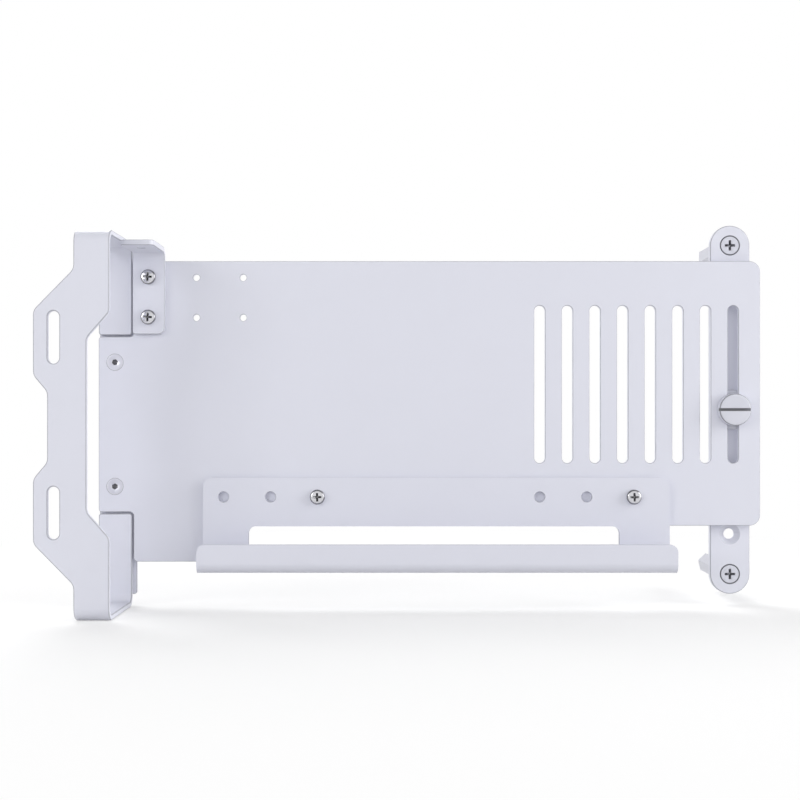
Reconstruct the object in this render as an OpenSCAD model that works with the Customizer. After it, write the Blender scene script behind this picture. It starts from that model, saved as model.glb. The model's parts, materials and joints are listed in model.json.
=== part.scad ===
// Vertical graphics card mount, in millimetres.
// A bent frame screws to the card opening of a computer case and carries a base plate.
// A card bracket and a riser shelf on the plate hold the card between them.
// A support bar slides along a slot at the far end and stands on the board on two posts.
// +X runs along the card, +Y from the open side of the case to the board, +Z across the card.
// The origin is midway between the two case slots, on the face that lies on the case.

/* [Case frame] */
// Thickness of the frame's sheet
frame_t = 2; // [1.5:0.1:2.5]
// Height of the frame over its two bends
frame_h = 136.6; // [132:0.2:150]
// Clear depth from the case to the front of the base plate
frame_depth = 36; // [30:0.5:50]
// Inner radius of the frame's bends
frame_bend_r = 2.8; // [1.5:0.1:3.5]
// Distance from the slots' centre line to the near edge of the arms
arm_offset = 6.9; // [6:0.1:9]
// Width of the arms and of the rear flanges
arm_w = 12.5; // [11:0.1:20]
// Corner radius at the free end of a rear flange
flange_end_r = 1; // [0.5:0.1:3]
// Reach of the ears past the slots' centre line
ear_reach = 7.1; // [5.5:0.1:9]
// Height above the middle at which an ear's outer slope leaves the arm
ear_slope_top = 54.9; // [54:0.1:58]
// Height above the middle at which an ear's outer slope ends
ear_slope_end = 40.6; // [40:0.1:45]
// Height above the middle of the lower corner of an ear
ear_bottom = 18; // [16:0.1:20]
// How far both ears lie below their places in a symmetric frame
ear_drop = 0.7; // [0:0.1:1]
// Reach of the frame's waist past the slots' centre line
waist_reach = 2.2; // [0.5:0.1:3]
// Half height of the waist between the ears
waist_half = 12.2; // [8:0.1:13]
// Distance from the slots' centre line to the waist's inner edge
waist_inner = 11.5; // [9:0.1:13]
// Half height of the waist's inner edge
inner_half = 30.2; // [25:0.1:32]
// Height above the middle at which the inner slope meets the arm's edge
inner_slope_top = 39.2; // [38:0.1:45]
// Radius of the frame's blunt corners
ear_corner_r = 4; // [1:0.1:5]
// Distance between the two case slots
case_slot_pitch = 60.96; // [58:0.01:64]
// Width of a case slot
case_slot_w = 4; // [3.6:0.1:4.4]
// Length of a case slot from end to end
case_slot_len = 18.2; // [10:0.1:20]

/* [Base plate] */
// Thickness of the base plate
plate_t = 2; // [1.5:0.1:3]
// Length of the plate from its notches to its far edge
plate_len = 235; // [225:1:260]
// Reach of the plate above the middle
plate_top = 61.2; // [60:0.2:62]
// Reach of the plate below the middle, beside the shelf's window
plate_bottom = 38; // [36:0.2:38]
// Reach of the plate's deeper end below the middle
plate_deep = 51.5; // [45:0.2:60]
// Length of the plate's deeper end
deep_len = 35; // [31:0.5:40]
// Corner radius at the far edge
plate_corner_r = 4; // [2:0.1:6]
// Corner radius at the deeper end
deep_corner_r = 1.5; // [0.5:0.1:3]
// Height of the tab that reaches between the rear flanges
tab_h = 65.7; // [60:0.1:72]
// Gap between the plate's notches and the rear flanges
notch_gap = 0.6; // [0.3:0.05:1]

/* [Slots in the base plate] */
// Number of vent slots
vent_count = 7; // [3:1:9]
// Distance from slot to slot
slot_pitch = 10.36; // [8:0.01:12]
// Width of the slots
slot_w = 4; // [3.8:0.1:5]
// Length of the slots from end to end
slot_len = 59.1; // [45:0.1:70]
// Height of the slots' centre above the middle
slot_z = 15; // [10:0.5:20]
// Distance from the far edge to the bar's slot
bar_slot_edge = 10.2; // [9:0.1:15]

/* [Joining strip] */
// Thickness of the strip behind the plate and the flanges
strip_t = 2; // [1.5:0.1:2.5]
// Height of the strip
strip_h = 127.8; // [100:0.2:128]
// Overlap of the strip past the arms
strip_overlap = 1.4; // [1:0.1:5]
// Distance from the tab's edge to its screws
tab_screw_x = 6.1; // [5:0.1:8]
// Height of the tab's screws above and below the middle
tab_screw_z = 23.3; // [15:0.1:28]

/* [Card bracket] */
// Thickness of the bracket's sheet
bracket_t = 2; // [1.5:0.1:2.5]
// Width of the bracket
bracket_w = 12; // [11:0.1:13]
// Height of the bracket's top face above the middle
bracket_top = 66.2; // [63:0.1:68]
// Height of the bracket's lower edge above the middle
bracket_bottom = 33.7; // [32:0.1:36]
// Reach of the bracket's flange in front of the base plate
bracket_reach = 24; // [18:0.5:34]
// Inner radius of the bracket's bend
bracket_bend_r = 2; // [1:0.1:3]
// Radius of the bracket's free corners
bracket_corner_r = 1.8; // [0.5:0.1:3]
// Distance from the flange's front edge to the card's screw hole
card_hole_inset = 8.5; // [6:0.1:10]
// Drilled diameter of the card's screw hole
card_hole_d = 2.85; // [2.5:0.05:3.3]
// Height of the upper tapped holes above the middle
grid_top = 55; // [52:0.1:57]
// Distance between the upper and the lower tapped holes
grid_drop = 15; // [12:0.1:17]
// Distance between the columns of tapped holes, and between the shelf's holes
grid_pitch = 17.55; // [14:0.05:18]
// Number of columns of tapped holes
grid_columns = 3; // [1:1:4]

/* [Riser shelf] */
// Thickness of the shelf's sheet
shelf_t = 2; // [1.5:0.1:2.5]
// Distance from the plate's notches to the shelf
shelf_x = 26.6; // [20:0.1:27]
// Length of the shelf
shelf_len = 173.8; // [170:0.1:180]
// Depth of the shelf in front of the base plate
shelf_depth = 18; // [16:0.5:30]
// Height of the shelf's top edge, below the middle
shelf_top = 20.2; // [18:0.1:22]
// Height of the shelf's underside, below the middle
shelf_under = 54; // [52:0.1:60]
// Height of the lip from the underside
lip_h = 10.2; // [8:0.1:13]
// Inner radius of the shelf's bends
shelf_bend_r = 1.8; // [1:0.1:3]
// Radius of the shelf's upper corners
shelf_corner_r = 3.3; // [1:0.1:5]
// Radius of the lip's upper corners
lip_corner_r = 2.5; // [1:0.1:4]
// Width of the leg beside the window, at the shelf's near end
near_leg_w = 16.4; // [13:0.1:18]
// Width of the leg beside the window, at the shelf's far end
far_leg_w = 18.2; // [13:0.1:20]
// Height of the window's top edge, below the middle
window_top = 37.8; // [36:0.1:40]
// Radius of the window's upper corners
window_r = 3; // [1:0.1:6]
// Height of the shelf's screw holes, below the middle
shelf_hole_z = 27.1; // [25:0.1:30]
// Diameter of the shelf's screw holes
shelf_hole_d = 3.9; // [3.4:0.1:4.4]
// Distance from the shelf's near end to its first hole
shelf_hole_near = 7.4; // [5:0.1:9]
// Distance from the shelf's far end to its last hole
shelf_hole_far = 13.2; // [9:0.1:15]
// Number of holes in each group
shelf_hole_count = 3; // [1:1:4]
// Distance between the riser slots
riser_slot_pitch = 104; // [80:1:130]
// Width of a riser slot
riser_slot_w = 3.4; // [2.5:0.1:4]
// Length of a riser slot from end to end
riser_slot_len = 9; // [6:0.5:20]

/* [Support bar] */
// Thickness of the bar
bar_t = 3; // [2.5:0.1:5]
// Width of the bar
bar_w = 15; // [12:0.1:20]
// Distance between the post screws
post_pitch = 124.46; // [110:0.01:140]
// Distance between the spare holes
spare_pitch = 94.2; // [60:0.1:106]
// Height of the bar's centre above the middle
bar_z = 5.5; // [-5:0.1:20]
// Distance from the base plate to the bar
bar_gap = 3; // [1.5:0.1:6]
// Diameter of the spacer between plate and bar
spacer_d = 15; // [9:0.1:18]

/* [Posts] */
// Length of a post
post_len = 35; // [15:0.5:60]
// Width of a post across its flats
post_af = 7; // [6:0.1:9]
// Edge bevel at the ends of a post
post_bevel = 0.4; // [0.1:0.05:0.6]
// Depth of the threaded hole in a post
post_bore_depth = 12; // [9:0.5:13]
// Diameter of the stud on a post
stud_d = 3; // [2.5:0.1:4]
// Length of the stud on a post
stud_len = 6; // [3:0.5:10]
// Turn of the lower post about its axis
lower_post_turn = 12; // [0:1:30]

/* [Thumb screw] */
// Diameter of the thumb screw's head
thumb_head_d = 12; // [9:0.1:16]
// Height of the thumb screw's head
thumb_head_h = 4.2; // [3:0.1:6]
// Edge bevel of the head
thumb_bevel = 0.4; // [0.2:0.05:0.8]
// Width of the coin slot
coin_slot_w = 1.1; // [0.8:0.1:2]
// Depth of the coin slot
coin_slot_depth = 1.6; // [0.8:0.1:2]
// Thread diameter of the thumb screw
thumb_d = 3.5; // [3:0.1:3.6]
// Length of thread past the back of the bar
thumb_end = 2; // [0.5:0.1:5]

/* [Pan head screws] */
// Thread diameter of the pan head screws
pan_d = 3; // [2.5:0.1:3.2]
// Length of the pan head screws under the head
pan_len = 5; // [4:0.5:8]
// Diameter of the pan head
pan_head_d = 5.6; // [5:0.1:6]
// Height of the pan head
pan_head_h = 2.2; // [1.6:0.1:2.6]
// Height of the rim of the pan head
pan_rim_h = 1; // [0.6:0.1:1.3]
// Drilled diameter of the tapped holes
tap_d = 2.5; // [2:0.05:2.6]

/* [Countersunk screws] */
// Thread diameter of the tab's screws
tab_screw_d = 3; // [2.5:0.1:3.2]
// Head diameter of the tab's screws
tab_head_d = 6.2; // [5.5:0.1:6.4]
// Length of the tab's screws
tab_screw_len = 5; // [4:0.5:8]
// Socket width of the tab's screws across the flats
socket_af = 2; // [1.5:0.1:2.2]
// Thread diameter of the bar's screws
bar_screw_d = 4; // [3:0.1:4.2]
// Head diameter of the bar's screws
bar_head_d = 7.6; // [6.5:0.1:8]
// Length of the bar's screws
bar_screw_len = 10; // [8:0.5:11]
// Diameter of the spare holes through the bar
spare_d = 4; // [3.2:0.1:4.4]

/* [Fits] */
// Clearance round a thread in its hole
thread_gap = 0.05; // [0.02:0.01:0.1]
// Clearance round a plain screw hole
hole_gap = 0.2; // [0.1:0.05:0.3]
// Clearance between a countersunk head and its seat
seat_gap = 0.04; // [0.02:0.01:0.1]
// Running gap at the faces of the spacer and under the thumb screw's head
slide_gap = 0.1; // [0.05:0.01:0.2]
// Width of a screw's cross recess, as a share of the thread diameter
cross_share = 0.22; // [0.15:0.01:0.3]

/* [Hidden] */
$fn = 96;

white_coat = [0.86, 0.86, 0.90];
nickel = [0.76, 0.76, 0.78];
zinc = [0.82, 0.82, 0.84];
corner_steps = 10;
past = 1;

half_h = frame_h / 2;
arm_right = arm_offset + arm_w;
frame_bend_out = frame_bend_r + frame_t;
flat_half = half_h - frame_bend_out;
plate_front = frame_depth;
plate_back = plate_front + plate_t;
tab_half = tab_h / 2;
flange_end = tab_half + notch_gap;
notch_r = flange_end_r + notch_gap;
plate_left = arm_right + notch_gap;
plate_right = plate_left + plate_len;
bar_x = plate_right - bar_slot_edge;
vent_x = [for (i = [vent_count : -1 : 1]) bar_x - i * slot_pitch];
strip_back = plate_back + strip_t;
strip_w = arm_w + strip_overlap;
tab_x = arm_offset + tab_screw_x;
bracket_front = plate_front - bracket_t;
bracket_bend_out = bracket_bend_r + bracket_t;
grid_x = [for (i = [0 : grid_columns - 1]) plate_left + bracket_w / 2 + i * grid_pitch];
grid_z = [grid_top, grid_top - grid_drop];
card_hole_x = grid_x[0];
card_hole_y = plate_front - bracket_reach + card_hole_inset;
shelf_left = plate_left + shelf_x;
shelf_right = shelf_left + shelf_len;
shelf_back = plate_front - shelf_t;
shelf_front = plate_front - shelf_depth;
shelf_bend_out = shelf_bend_r + shelf_t;
near_holes = [for (i = [0 : shelf_hole_count - 1]) shelf_left + shelf_hole_near + i * grid_pitch];
far_holes = [for (i = [0 : shelf_hole_count - 1]) shelf_right - shelf_hole_far - i * grid_pitch];
near_screw_x = near_holes[shelf_hole_count - 1];
far_screw_x = far_holes[0];
shelf_mid_x = (shelf_left + shelf_right) / 2;
riser_slot_y = (shelf_front + shelf_back) / 2;
bar_front = plate_back + bar_gap;
bar_back = bar_front + bar_t;
post_z = [bar_z + post_pitch / 2, bar_z - post_pitch / 2];
post_end = bar_back + post_len;

// Points of the corner at p between a and b, rounded with radius r.
function corner(a, p, b, r) =
    let (
        u = (a - p) / norm(a - p),
        v = (b - p) / norm(b - p),
        half = acos(u * v) / 2,
        middle = p + (u + v) / norm(u + v) * r / sin(half),
        first = p + u * r / tan(half) - middle,
        last = p + v * r / tan(half) - middle,
        from = atan2(first[1], first[0]),
        turn = atan2(last[1], last[0]) - from,
        sweep = turn > 180 ? turn - 360 : turn < -180 ? turn + 360 : turn
    )
    r == 0 ? [p] : [for (i = [0 : corner_steps])
        let (angle = from + sweep * i / corner_steps) middle + r * [cos(angle), sin(angle)]];

// Outline through points [x, z, radius], each corner rounded with its own radius.
function rounded(points) =
    let (n = len(points))
    [for (i = [0 : n - 1])
        let (a = points[(i + n - 1) % n], p = points[i], b = points[(i + 1) % n])
        each corner([a[0], a[1]], [p[0], p[1]], [b[0], b[1]], p[2])];

// The mirror image of a half outline below the middle, in the order that goes on round the whole.
function mirror_below(points) =
    [for (i = [len(points) - 1 : -1 : 0]) [points[i][0], -points[i][1], points[i][2]]];

// A half outline and its mirror image below the middle.
function both_halves(points) = concat(points, mirror_below(points));

// Extrudes an outline in X and Z from y to y + depth.
module along_y(y, depth) {
    translate([0, y + depth, 0])
    rotate([90, 0, 0])
    linear_extrude(depth)
    children();
}

// Extrudes a profile in Y and Z from x to x + length.
module along_x(x, length) {
    translate([x, 0, 0])
    rotate([90, 0, 90])
    linear_extrude(length)
    children();
}

// Sets a piece that points along +Z at a place, pointing to the front of the mount.
module facing_front(x, y, z) {
    translate([x, y, z])
    rotate([90, 0, 0])
    children();
}

// A rectangle from corner a to corner b.
module span(a, b) {
    translate(a)
    square(b - a);
}

// A quarter of a bend, inner radius r and thickness t, turned so many quarter turns.
module bend(centre, r, t, quarter) {
    translate(centre)
    rotate(90 * quarter)
    intersection() {
        difference() {
            circle(r + t);
            circle(r);
        }
        square(r + t);
    }
}

// An upright slot with round ends.
module slot(x, z, width, length) {
    straight = length - width;
    translate([x, z])
    union() {
        square([width, straight], center = true);
        for (side = [-1, 1])
            translate([0, side * straight / 2])
            circle(d = width);
    }
}

// A round hole from the front, through everything between two depths.
module bore_y(x, z, d, from, to) {
    facing_front(x, to + past, z)
    cylinder(d = d, h = to - from + 2 * past);
}

// The outline of the frame's front plate between its two bends.
module frame_outline() {
    function half(drop) = [
        [waist_inner, inner_half, ear_corner_r],
        [arm_right, inner_slope_top, ear_corner_r],
        [arm_right, flat_half, 0],
        [arm_offset, flat_half, 0],
        [arm_offset, ear_slope_top - drop, ear_corner_r],
        [-ear_reach, ear_slope_end - drop, ear_corner_r],
        [-ear_reach, ear_bottom - drop, ear_corner_r],
        [-waist_reach, waist_half - drop, ear_corner_r]
    ];
    polygon(rounded(concat(half(ear_drop), mirror_below(half(-ear_drop)))));
}

// The side view of the frame's upper arm: front bend, arm, rear bend and the start of the flange.
module arm_profile() {
    straight_end = frame_depth - frame_bend_r;
    flange_root = flat_half - frame_bend_out;
    span([-frame_t, flange_root], [0, flat_half]);
    bend([frame_bend_r, flat_half], frame_bend_r, frame_t, 1);
    span([frame_bend_r, half_h - frame_t], [straight_end, half_h]);
    bend([straight_end, flat_half], frame_bend_r, frame_t, 0);
    span([frame_depth, flange_root], [frame_depth + frame_t, flat_half]);
}

// The rear flange of the upper arm, seen from the front.
module flange_outline() {
    polygon(rounded([
        [arm_offset, flange_end, flange_end_r],
        [arm_right, flange_end, flange_end_r],
        [arm_right, flat_half, 0],
        [arm_offset, flat_half, 0]
    ]));
}

// The upper arm with its rear flange.
module frame_arm() {
    along_x(arm_offset, arm_w)
    arm_profile();
    along_y(frame_depth, frame_t)
    flange_outline();
}

module case_frame() {
    color(white_coat)
    union() {
        along_y(-frame_t, frame_t)
        difference() {
            frame_outline();
            for (side = [-1, 1])
                slot(0, side * case_slot_pitch / 2, case_slot_w, case_slot_len);
        }
        frame_arm();
        mirror([0, 0, 1])
        frame_arm();
    }
}

// The outline of the base plate, with the tab between its two notches.
module plate_outline() {
    step_x = plate_left + deep_len;
    polygon(rounded([
        [plate_left, plate_top, 0],
        [plate_left, tab_half, notch_r],
        [arm_offset, tab_half, flange_end_r],
        [arm_offset, -tab_half, flange_end_r],
        [plate_left, -tab_half, notch_r],
        [plate_left, -plate_deep, deep_corner_r],
        [step_x, -plate_deep, deep_corner_r],
        [step_x, -plate_bottom, deep_corner_r],
        [plate_right, -plate_bottom, plate_corner_r],
        [plate_right, plate_top, plate_corner_r]
    ]));
}

module base_plate() {
    color(white_coat)
    difference() {
        along_y(plate_front, plate_t)
        difference() {
            plate_outline();
            for (x = vent_x)
                slot(x, slot_z, slot_w, slot_len);
            slot(bar_x, slot_z, slot_w, slot_len);
        }
        for (i = [0 : grid_columns - 1], z = grid_z)
            bore_y(grid_x[i], z, i == 0 ? pan_d + 2 * thread_gap : tap_d, plate_front, plate_back);
        for (x = [near_screw_x, far_screw_x])
            bore_y(x, -shelf_hole_z, pan_d + 2 * thread_gap, plate_front, plate_back);
        for (side = [-1, 1])
            facing_front(tab_x, plate_front, side * tab_screw_z)
            countersink(tab_screw_d, tab_head_d, tab_screw_d + 2 * hole_gap, plate_t);
    }
}

module joining_strip() {
    color(white_coat)
    difference() {
        along_y(plate_back, strip_t)
        polygon(rounded(both_halves([
            [arm_offset + strip_w, strip_h / 2, flange_end_r],
            [arm_offset, strip_h / 2, flange_end_r]
        ])));
        for (side = [-1, 1])
            bore_y(tab_x, side * tab_screw_z, tab_screw_d + 2 * thread_gap, plate_back, strip_back);
    }
}

// The cut for a countersunk head at z = 0 and a plain hole through a sheet below it.
module countersink(d, head_d, hole_d, sheet) {
    depth = (head_d - d) / 2;
    translate([0, 0, -depth])
    cylinder(d1 = d + 2 * seat_gap, d2 = head_d + 2 * seat_gap, h = depth);
    cylinder(d = head_d + 2 * seat_gap, h = past);
    translate([0, 0, -sheet - past])
    cylinder(d = hole_d, h = sheet + 2 * past);
}

// A cross recess of a given width over its arms, cut down from z = top.
module cross_recess(top, width, depth, d) {
    for (turn = [0, 90])
        rotate([0, 0, turn])
        translate([-width / 2, -cross_share * d / 2, top - depth])
        cube([width, cross_share * d, depth + past]);
}

// A countersunk head with its shank, the face of the head at z = 0.
module countersunk_body(d, head_d, length) {
    depth = (head_d - d) / 2;
    translate([0, 0, -depth])
    cylinder(d1 = d, d2 = head_d, h = depth);
    translate([0, 0, -length])
    cylinder(d = d, h = length - depth / 2);
}

// A countersunk screw with a hexagon socket.
module socket_screw() {
    difference() {
        countersunk_body(tab_screw_d, tab_head_d, tab_screw_len);
        translate([0, 0, -socket_af / 2])
        cylinder(d = socket_af / cos(30), h = socket_af / 2 + past, $fn = 6);
    }
}

// A countersunk screw with a cross recess.
module cross_screw() {
    difference() {
        countersunk_body(bar_screw_d, bar_head_d, bar_screw_len);
        cross_recess(0, bar_screw_d, bar_screw_d / 2, bar_screw_d);
    }
}

// A pan head screw, its head on z = 0.
module pan_screw() {
    rise = pan_head_h - pan_rim_h;
    dome_r = (pow(pan_head_d / 2, 2) + pow(rise, 2)) / (2 * rise);
    difference() {
        union() {
            intersection() {
                cylinder(d = pan_head_d, h = pan_head_h);
                translate([0, 0, pan_head_h - dome_r])
                sphere(dome_r);
            }
            translate([0, 0, -pan_len])
            cylinder(d = pan_d, h = pan_len + pan_rim_h / 2);
        }
        cross_recess(pan_head_h, pan_d, pan_d / 2, pan_d);
    }
}

module tab_screw_upper() {
    color(zinc)
    facing_front(tab_x, plate_front, tab_screw_z)
    socket_screw();
}

module tab_screw_lower() {
    color(zinc)
    facing_front(tab_x, plate_front, -tab_screw_z)
    socket_screw();
}

// The side view of the card bracket: face, bend and flange.
module bracket_profile() {
    bend_z = bracket_top - bracket_bend_out;
    bend_y = bracket_front - bracket_bend_r;
    span([bracket_front, bend_z - bracket_bend_out], [plate_front, bend_z]);
    bend([bend_y, bend_z], bracket_bend_r, bracket_t, 0);
    span([bend_y - bracket_bend_out, bracket_top - bracket_t], [bend_y, bracket_top]);
}

module card_bracket() {
    bend_z = bracket_top - bracket_bend_out;
    right = plate_left + bracket_w;
    color(white_coat)
    difference() {
        union() {
            along_x(plate_left, bracket_w)
            bracket_profile();
            along_y(bracket_front, bracket_t)
            polygon(rounded([
                [plate_left, bracket_bottom, flange_end_r],
                [right, bracket_bottom, bracket_corner_r],
                [right, bend_z, 0],
                [plate_left, bend_z, 0]
            ]));
            translate([0, 0, bracket_top - bracket_t])
            linear_extrude(bracket_t)
            polygon(rounded([
                [plate_left, plate_front - bracket_reach, bracket_corner_r],
                [right, plate_front - bracket_reach, bracket_corner_r],
                [right, bracket_front - bracket_bend_r, 0],
                [plate_left, bracket_front - bracket_bend_r, 0]
            ]));
        }
        for (z = grid_z)
            bore_y(grid_x[0], z, pan_d + 2 * hole_gap, bracket_front, plate_front);
        translate([card_hole_x, card_hole_y, bracket_top - bracket_t - past])
        cylinder(d = card_hole_d, h = bracket_t + 2 * past);
    }
}

module bracket_screw_upper() {
    color(nickel)
    facing_front(grid_x[0], bracket_front, grid_z[0])
    pan_screw();
}

module bracket_screw_lower() {
    color(nickel)
    facing_front(grid_x[0], bracket_front, grid_z[1])
    pan_screw();
}

// The side view of the shelf: root of the back, bend, floor, bend and root of the lip.
module shelf_profile() {
    bend_z = shelf_bend_out - shelf_under;
    back_y = shelf_back - shelf_bend_r;
    front_y = shelf_front + shelf_t + shelf_bend_r;
    span([shelf_back, bend_z], [plate_front, bend_z + shelf_bend_out]);
    bend([back_y, bend_z], shelf_bend_r, shelf_t, 3);
    span([front_y, -shelf_under], [back_y, shelf_t - shelf_under]);
    bend([front_y, bend_z], shelf_bend_r, shelf_t, 2);
    span([shelf_front, bend_z], [shelf_front + shelf_t, bend_z + shelf_t / 2]);
}

// The back of the shelf, seen from the front.
module shelf_back_outline() {
    bend_z = shelf_bend_out - shelf_under;
    difference() {
        polygon(rounded([
            [shelf_left, bend_z, 0],
            [shelf_right, bend_z, 0],
            [shelf_right, -shelf_top, shelf_corner_r],
            [shelf_left, -shelf_top, shelf_corner_r]
        ]));
        for (x = concat(near_holes, far_holes))
            translate([x, -shelf_hole_z])
            circle(d = shelf_hole_d);
    }
}

// The lip of the shelf, seen from the front.
module lip_outline() {
    bend_z = shelf_bend_out - shelf_under;
    polygon(rounded([
        [shelf_left, bend_z, 0],
        [shelf_right, bend_z, 0],
        [shelf_right, lip_h - shelf_under, lip_corner_r],
        [shelf_left, lip_h - shelf_under, lip_corner_r]
    ]));
}

// The window for the riser's ribbon, open down to the floor.
module window_outline() {
    polygon(rounded([
        [shelf_left + near_leg_w, -shelf_under - past, 0],
        [shelf_right - far_leg_w, -shelf_under - past, 0],
        [shelf_right - far_leg_w, -window_top, window_r],
        [shelf_left + near_leg_w, -window_top, window_r]
    ]));
}

module riser_shelf() {
    color(white_coat)
    difference() {
        union() {
            along_x(shelf_left, shelf_len)
            shelf_profile();
            along_y(shelf_back, shelf_t)
            shelf_back_outline();
            along_y(shelf_front, shelf_t)
            lip_outline();
        }
        along_y(shelf_back - shelf_bend_r, shelf_bend_out + past)
        window_outline();
        for (side = [-1, 1])
            translate([shelf_mid_x + side * riser_slot_pitch / 2, riser_slot_y, -shelf_under - past])
            linear_extrude(shelf_t + 2 * past)
            rotate(90)
            slot(0, 0, riser_slot_w, riser_slot_len);
    }
}

module shelf_screw_near() {
    color(nickel)
    facing_front(near_screw_x, shelf_back, -shelf_hole_z)
    pan_screw();
}

module shelf_screw_far() {
    color(nickel)
    facing_front(far_screw_x, shelf_back, -shelf_hole_z)
    pan_screw();
}

module slot_spacer() {
    color(white_coat)
    facing_front(bar_x, bar_front - slide_gap, bar_z)
    difference() {
        cylinder(d = spacer_d, h = bar_gap - 2 * slide_gap);
        translate([0, 0, -past])
        cylinder(d = thumb_d + 2 * thread_gap, h = bar_gap + 2 * past);
    }
}

module thumb_screw() {
    reach = bar_back + thumb_end - plate_front;
    flat_top = thumb_head_h - thumb_bevel;
    color(white_coat)
    facing_front(bar_x, plate_front - slide_gap, bar_z)
    difference() {
        union() {
            cylinder(d = thumb_head_d, h = flat_top);
            translate([0, 0, flat_top])
            cylinder(d1 = thumb_head_d, d2 = thumb_head_d - 2 * thumb_bevel, h = thumb_bevel);
            translate([0, 0, -reach])
            cylinder(d = thumb_d, h = reach + flat_top / 2);
        }
        translate([-thumb_head_d / 2 - past, -coin_slot_w / 2, thumb_head_h - coin_slot_depth])
        cube([thumb_head_d + 2 * past, coin_slot_w, coin_slot_depth + past]);
    }
}

module support_bar() {
    color(white_coat)
    difference() {
        along_y(bar_front, bar_t)
        slot(bar_x, bar_z, bar_w, post_pitch + bar_w);
        bore_y(bar_x, bar_z, thumb_d + 2 * thread_gap, bar_front, bar_back);
        for (z = post_z)
            facing_front(bar_x, bar_front, z)
            countersink(bar_screw_d, bar_head_d, bar_screw_d + 2 * hole_gap, bar_t);
        for (side = [-1, 1])
            facing_front(bar_x, bar_front, bar_z + side * spare_pitch / 2)
            countersink(bar_screw_d, bar_head_d, spare_d, bar_t);
    }
}

module bar_screw_upper() {
    color(white_coat)
    facing_front(bar_x, bar_front, post_z[0])
    cross_screw();
}

module bar_screw_lower() {
    color(white_coat)
    facing_front(bar_x, bar_front, post_z[1])
    cross_screw();
}

// A hexagon post from z = 0 down, bored for the bar's screw, with a stud at its far end.
module post() {
    corner_r = post_af / 2 / cos(30);
    rim_r = corner_r - post_bevel;
    union() {
        difference() {
            intersection() {
                translate([0, 0, -post_len])
                cylinder(r = corner_r, h = post_len, $fn = 6);
                union() {
                    translate([0, 0, -post_bevel])
                    cylinder(r1 = corner_r, r2 = rim_r, h = post_bevel);
                    translate([0, 0, post_bevel - post_len])
                    cylinder(r = corner_r + past, h = post_len - 2 * post_bevel);
                    translate([0, 0, -post_len])
                    cylinder(r1 = rim_r, r2 = corner_r, h = post_bevel);
                }
            }
            translate([0, 0, -post_bore_depth])
            cylinder(d = bar_screw_d + 2 * thread_gap, h = post_bore_depth + past);
        }
        translate([0, 0, -post_len - stud_len])
        cylinder(d = stud_d, h = stud_len + past);
    }
}

module support_post_upper() {
    color(white_coat)
    facing_front(bar_x, bar_back, post_z[0])
    rotate([0, 0, 30])
    post();
}

module support_post_lower() {
    color(white_coat)
    facing_front(bar_x, bar_back, post_z[1])
    rotate([0, 0, 30 + lower_post_turn])
    post();
}

base_plate();
case_frame();
joining_strip();
tab_screw_upper();
tab_screw_lower();
card_bracket();
bracket_screw_upper();
bracket_screw_lower();
riser_shelf();
shelf_screw_near();
shelf_screw_far();
slot_spacer();
thumb_screw();
support_bar();
bar_screw_upper();
bar_screw_lower();
support_post_upper();
support_post_lower();
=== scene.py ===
"""Looks of a vertical graphics card mount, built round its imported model.

Sizes and places are in millimetres, in the mount's own frame: +X runs along the card, +Y from the
viewer to the board and +Z up. Meshes are turned into metres when they become Blender objects.
A bent piece is drawn flat, gets its thickness and its rounded rim there, and is then folded.
"""

from __future__ import annotations

import json
import logging
import math
from dataclasses import dataclass
from enum import Enum
from itertools import pairwise
from typing import Iterable, Sequence

import bmesh
import bpy
from mathutils import Matrix, Vector
from mathutils.geometry import delaunay_2d_cdt

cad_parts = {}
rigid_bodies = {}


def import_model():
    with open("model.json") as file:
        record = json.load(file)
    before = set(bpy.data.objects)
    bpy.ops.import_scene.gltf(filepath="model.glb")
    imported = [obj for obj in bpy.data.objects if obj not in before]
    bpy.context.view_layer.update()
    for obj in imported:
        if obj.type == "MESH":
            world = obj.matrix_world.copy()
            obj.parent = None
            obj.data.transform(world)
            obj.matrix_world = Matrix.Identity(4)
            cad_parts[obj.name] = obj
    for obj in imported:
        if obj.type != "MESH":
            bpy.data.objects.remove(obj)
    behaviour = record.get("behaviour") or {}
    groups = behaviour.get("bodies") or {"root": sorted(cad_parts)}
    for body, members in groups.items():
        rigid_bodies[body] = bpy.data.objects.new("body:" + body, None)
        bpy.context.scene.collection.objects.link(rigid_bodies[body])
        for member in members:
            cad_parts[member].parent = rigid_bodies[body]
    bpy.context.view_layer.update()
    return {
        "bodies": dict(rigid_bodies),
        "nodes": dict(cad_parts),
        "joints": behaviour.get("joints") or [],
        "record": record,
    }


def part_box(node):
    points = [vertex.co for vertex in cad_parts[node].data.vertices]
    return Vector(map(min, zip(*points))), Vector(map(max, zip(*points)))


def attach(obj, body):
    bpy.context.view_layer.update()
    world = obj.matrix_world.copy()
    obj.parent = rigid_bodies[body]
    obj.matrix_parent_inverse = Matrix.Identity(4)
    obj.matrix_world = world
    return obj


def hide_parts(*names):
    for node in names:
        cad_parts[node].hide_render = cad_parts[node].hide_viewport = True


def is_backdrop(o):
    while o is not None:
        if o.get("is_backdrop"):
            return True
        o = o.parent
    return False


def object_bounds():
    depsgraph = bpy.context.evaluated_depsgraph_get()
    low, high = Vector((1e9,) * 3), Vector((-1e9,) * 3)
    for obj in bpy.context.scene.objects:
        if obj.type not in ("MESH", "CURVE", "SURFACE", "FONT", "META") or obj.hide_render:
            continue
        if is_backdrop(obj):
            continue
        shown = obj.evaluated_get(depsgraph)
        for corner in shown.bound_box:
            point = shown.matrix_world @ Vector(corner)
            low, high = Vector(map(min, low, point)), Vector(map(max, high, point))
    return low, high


MM = 0.001
# The rounding of a hole's edges, and the share of a rim's shade that a countersink takes.
HOLE_RIM, SUNK_RIM_SHARE = 0.2, 0.25
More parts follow.
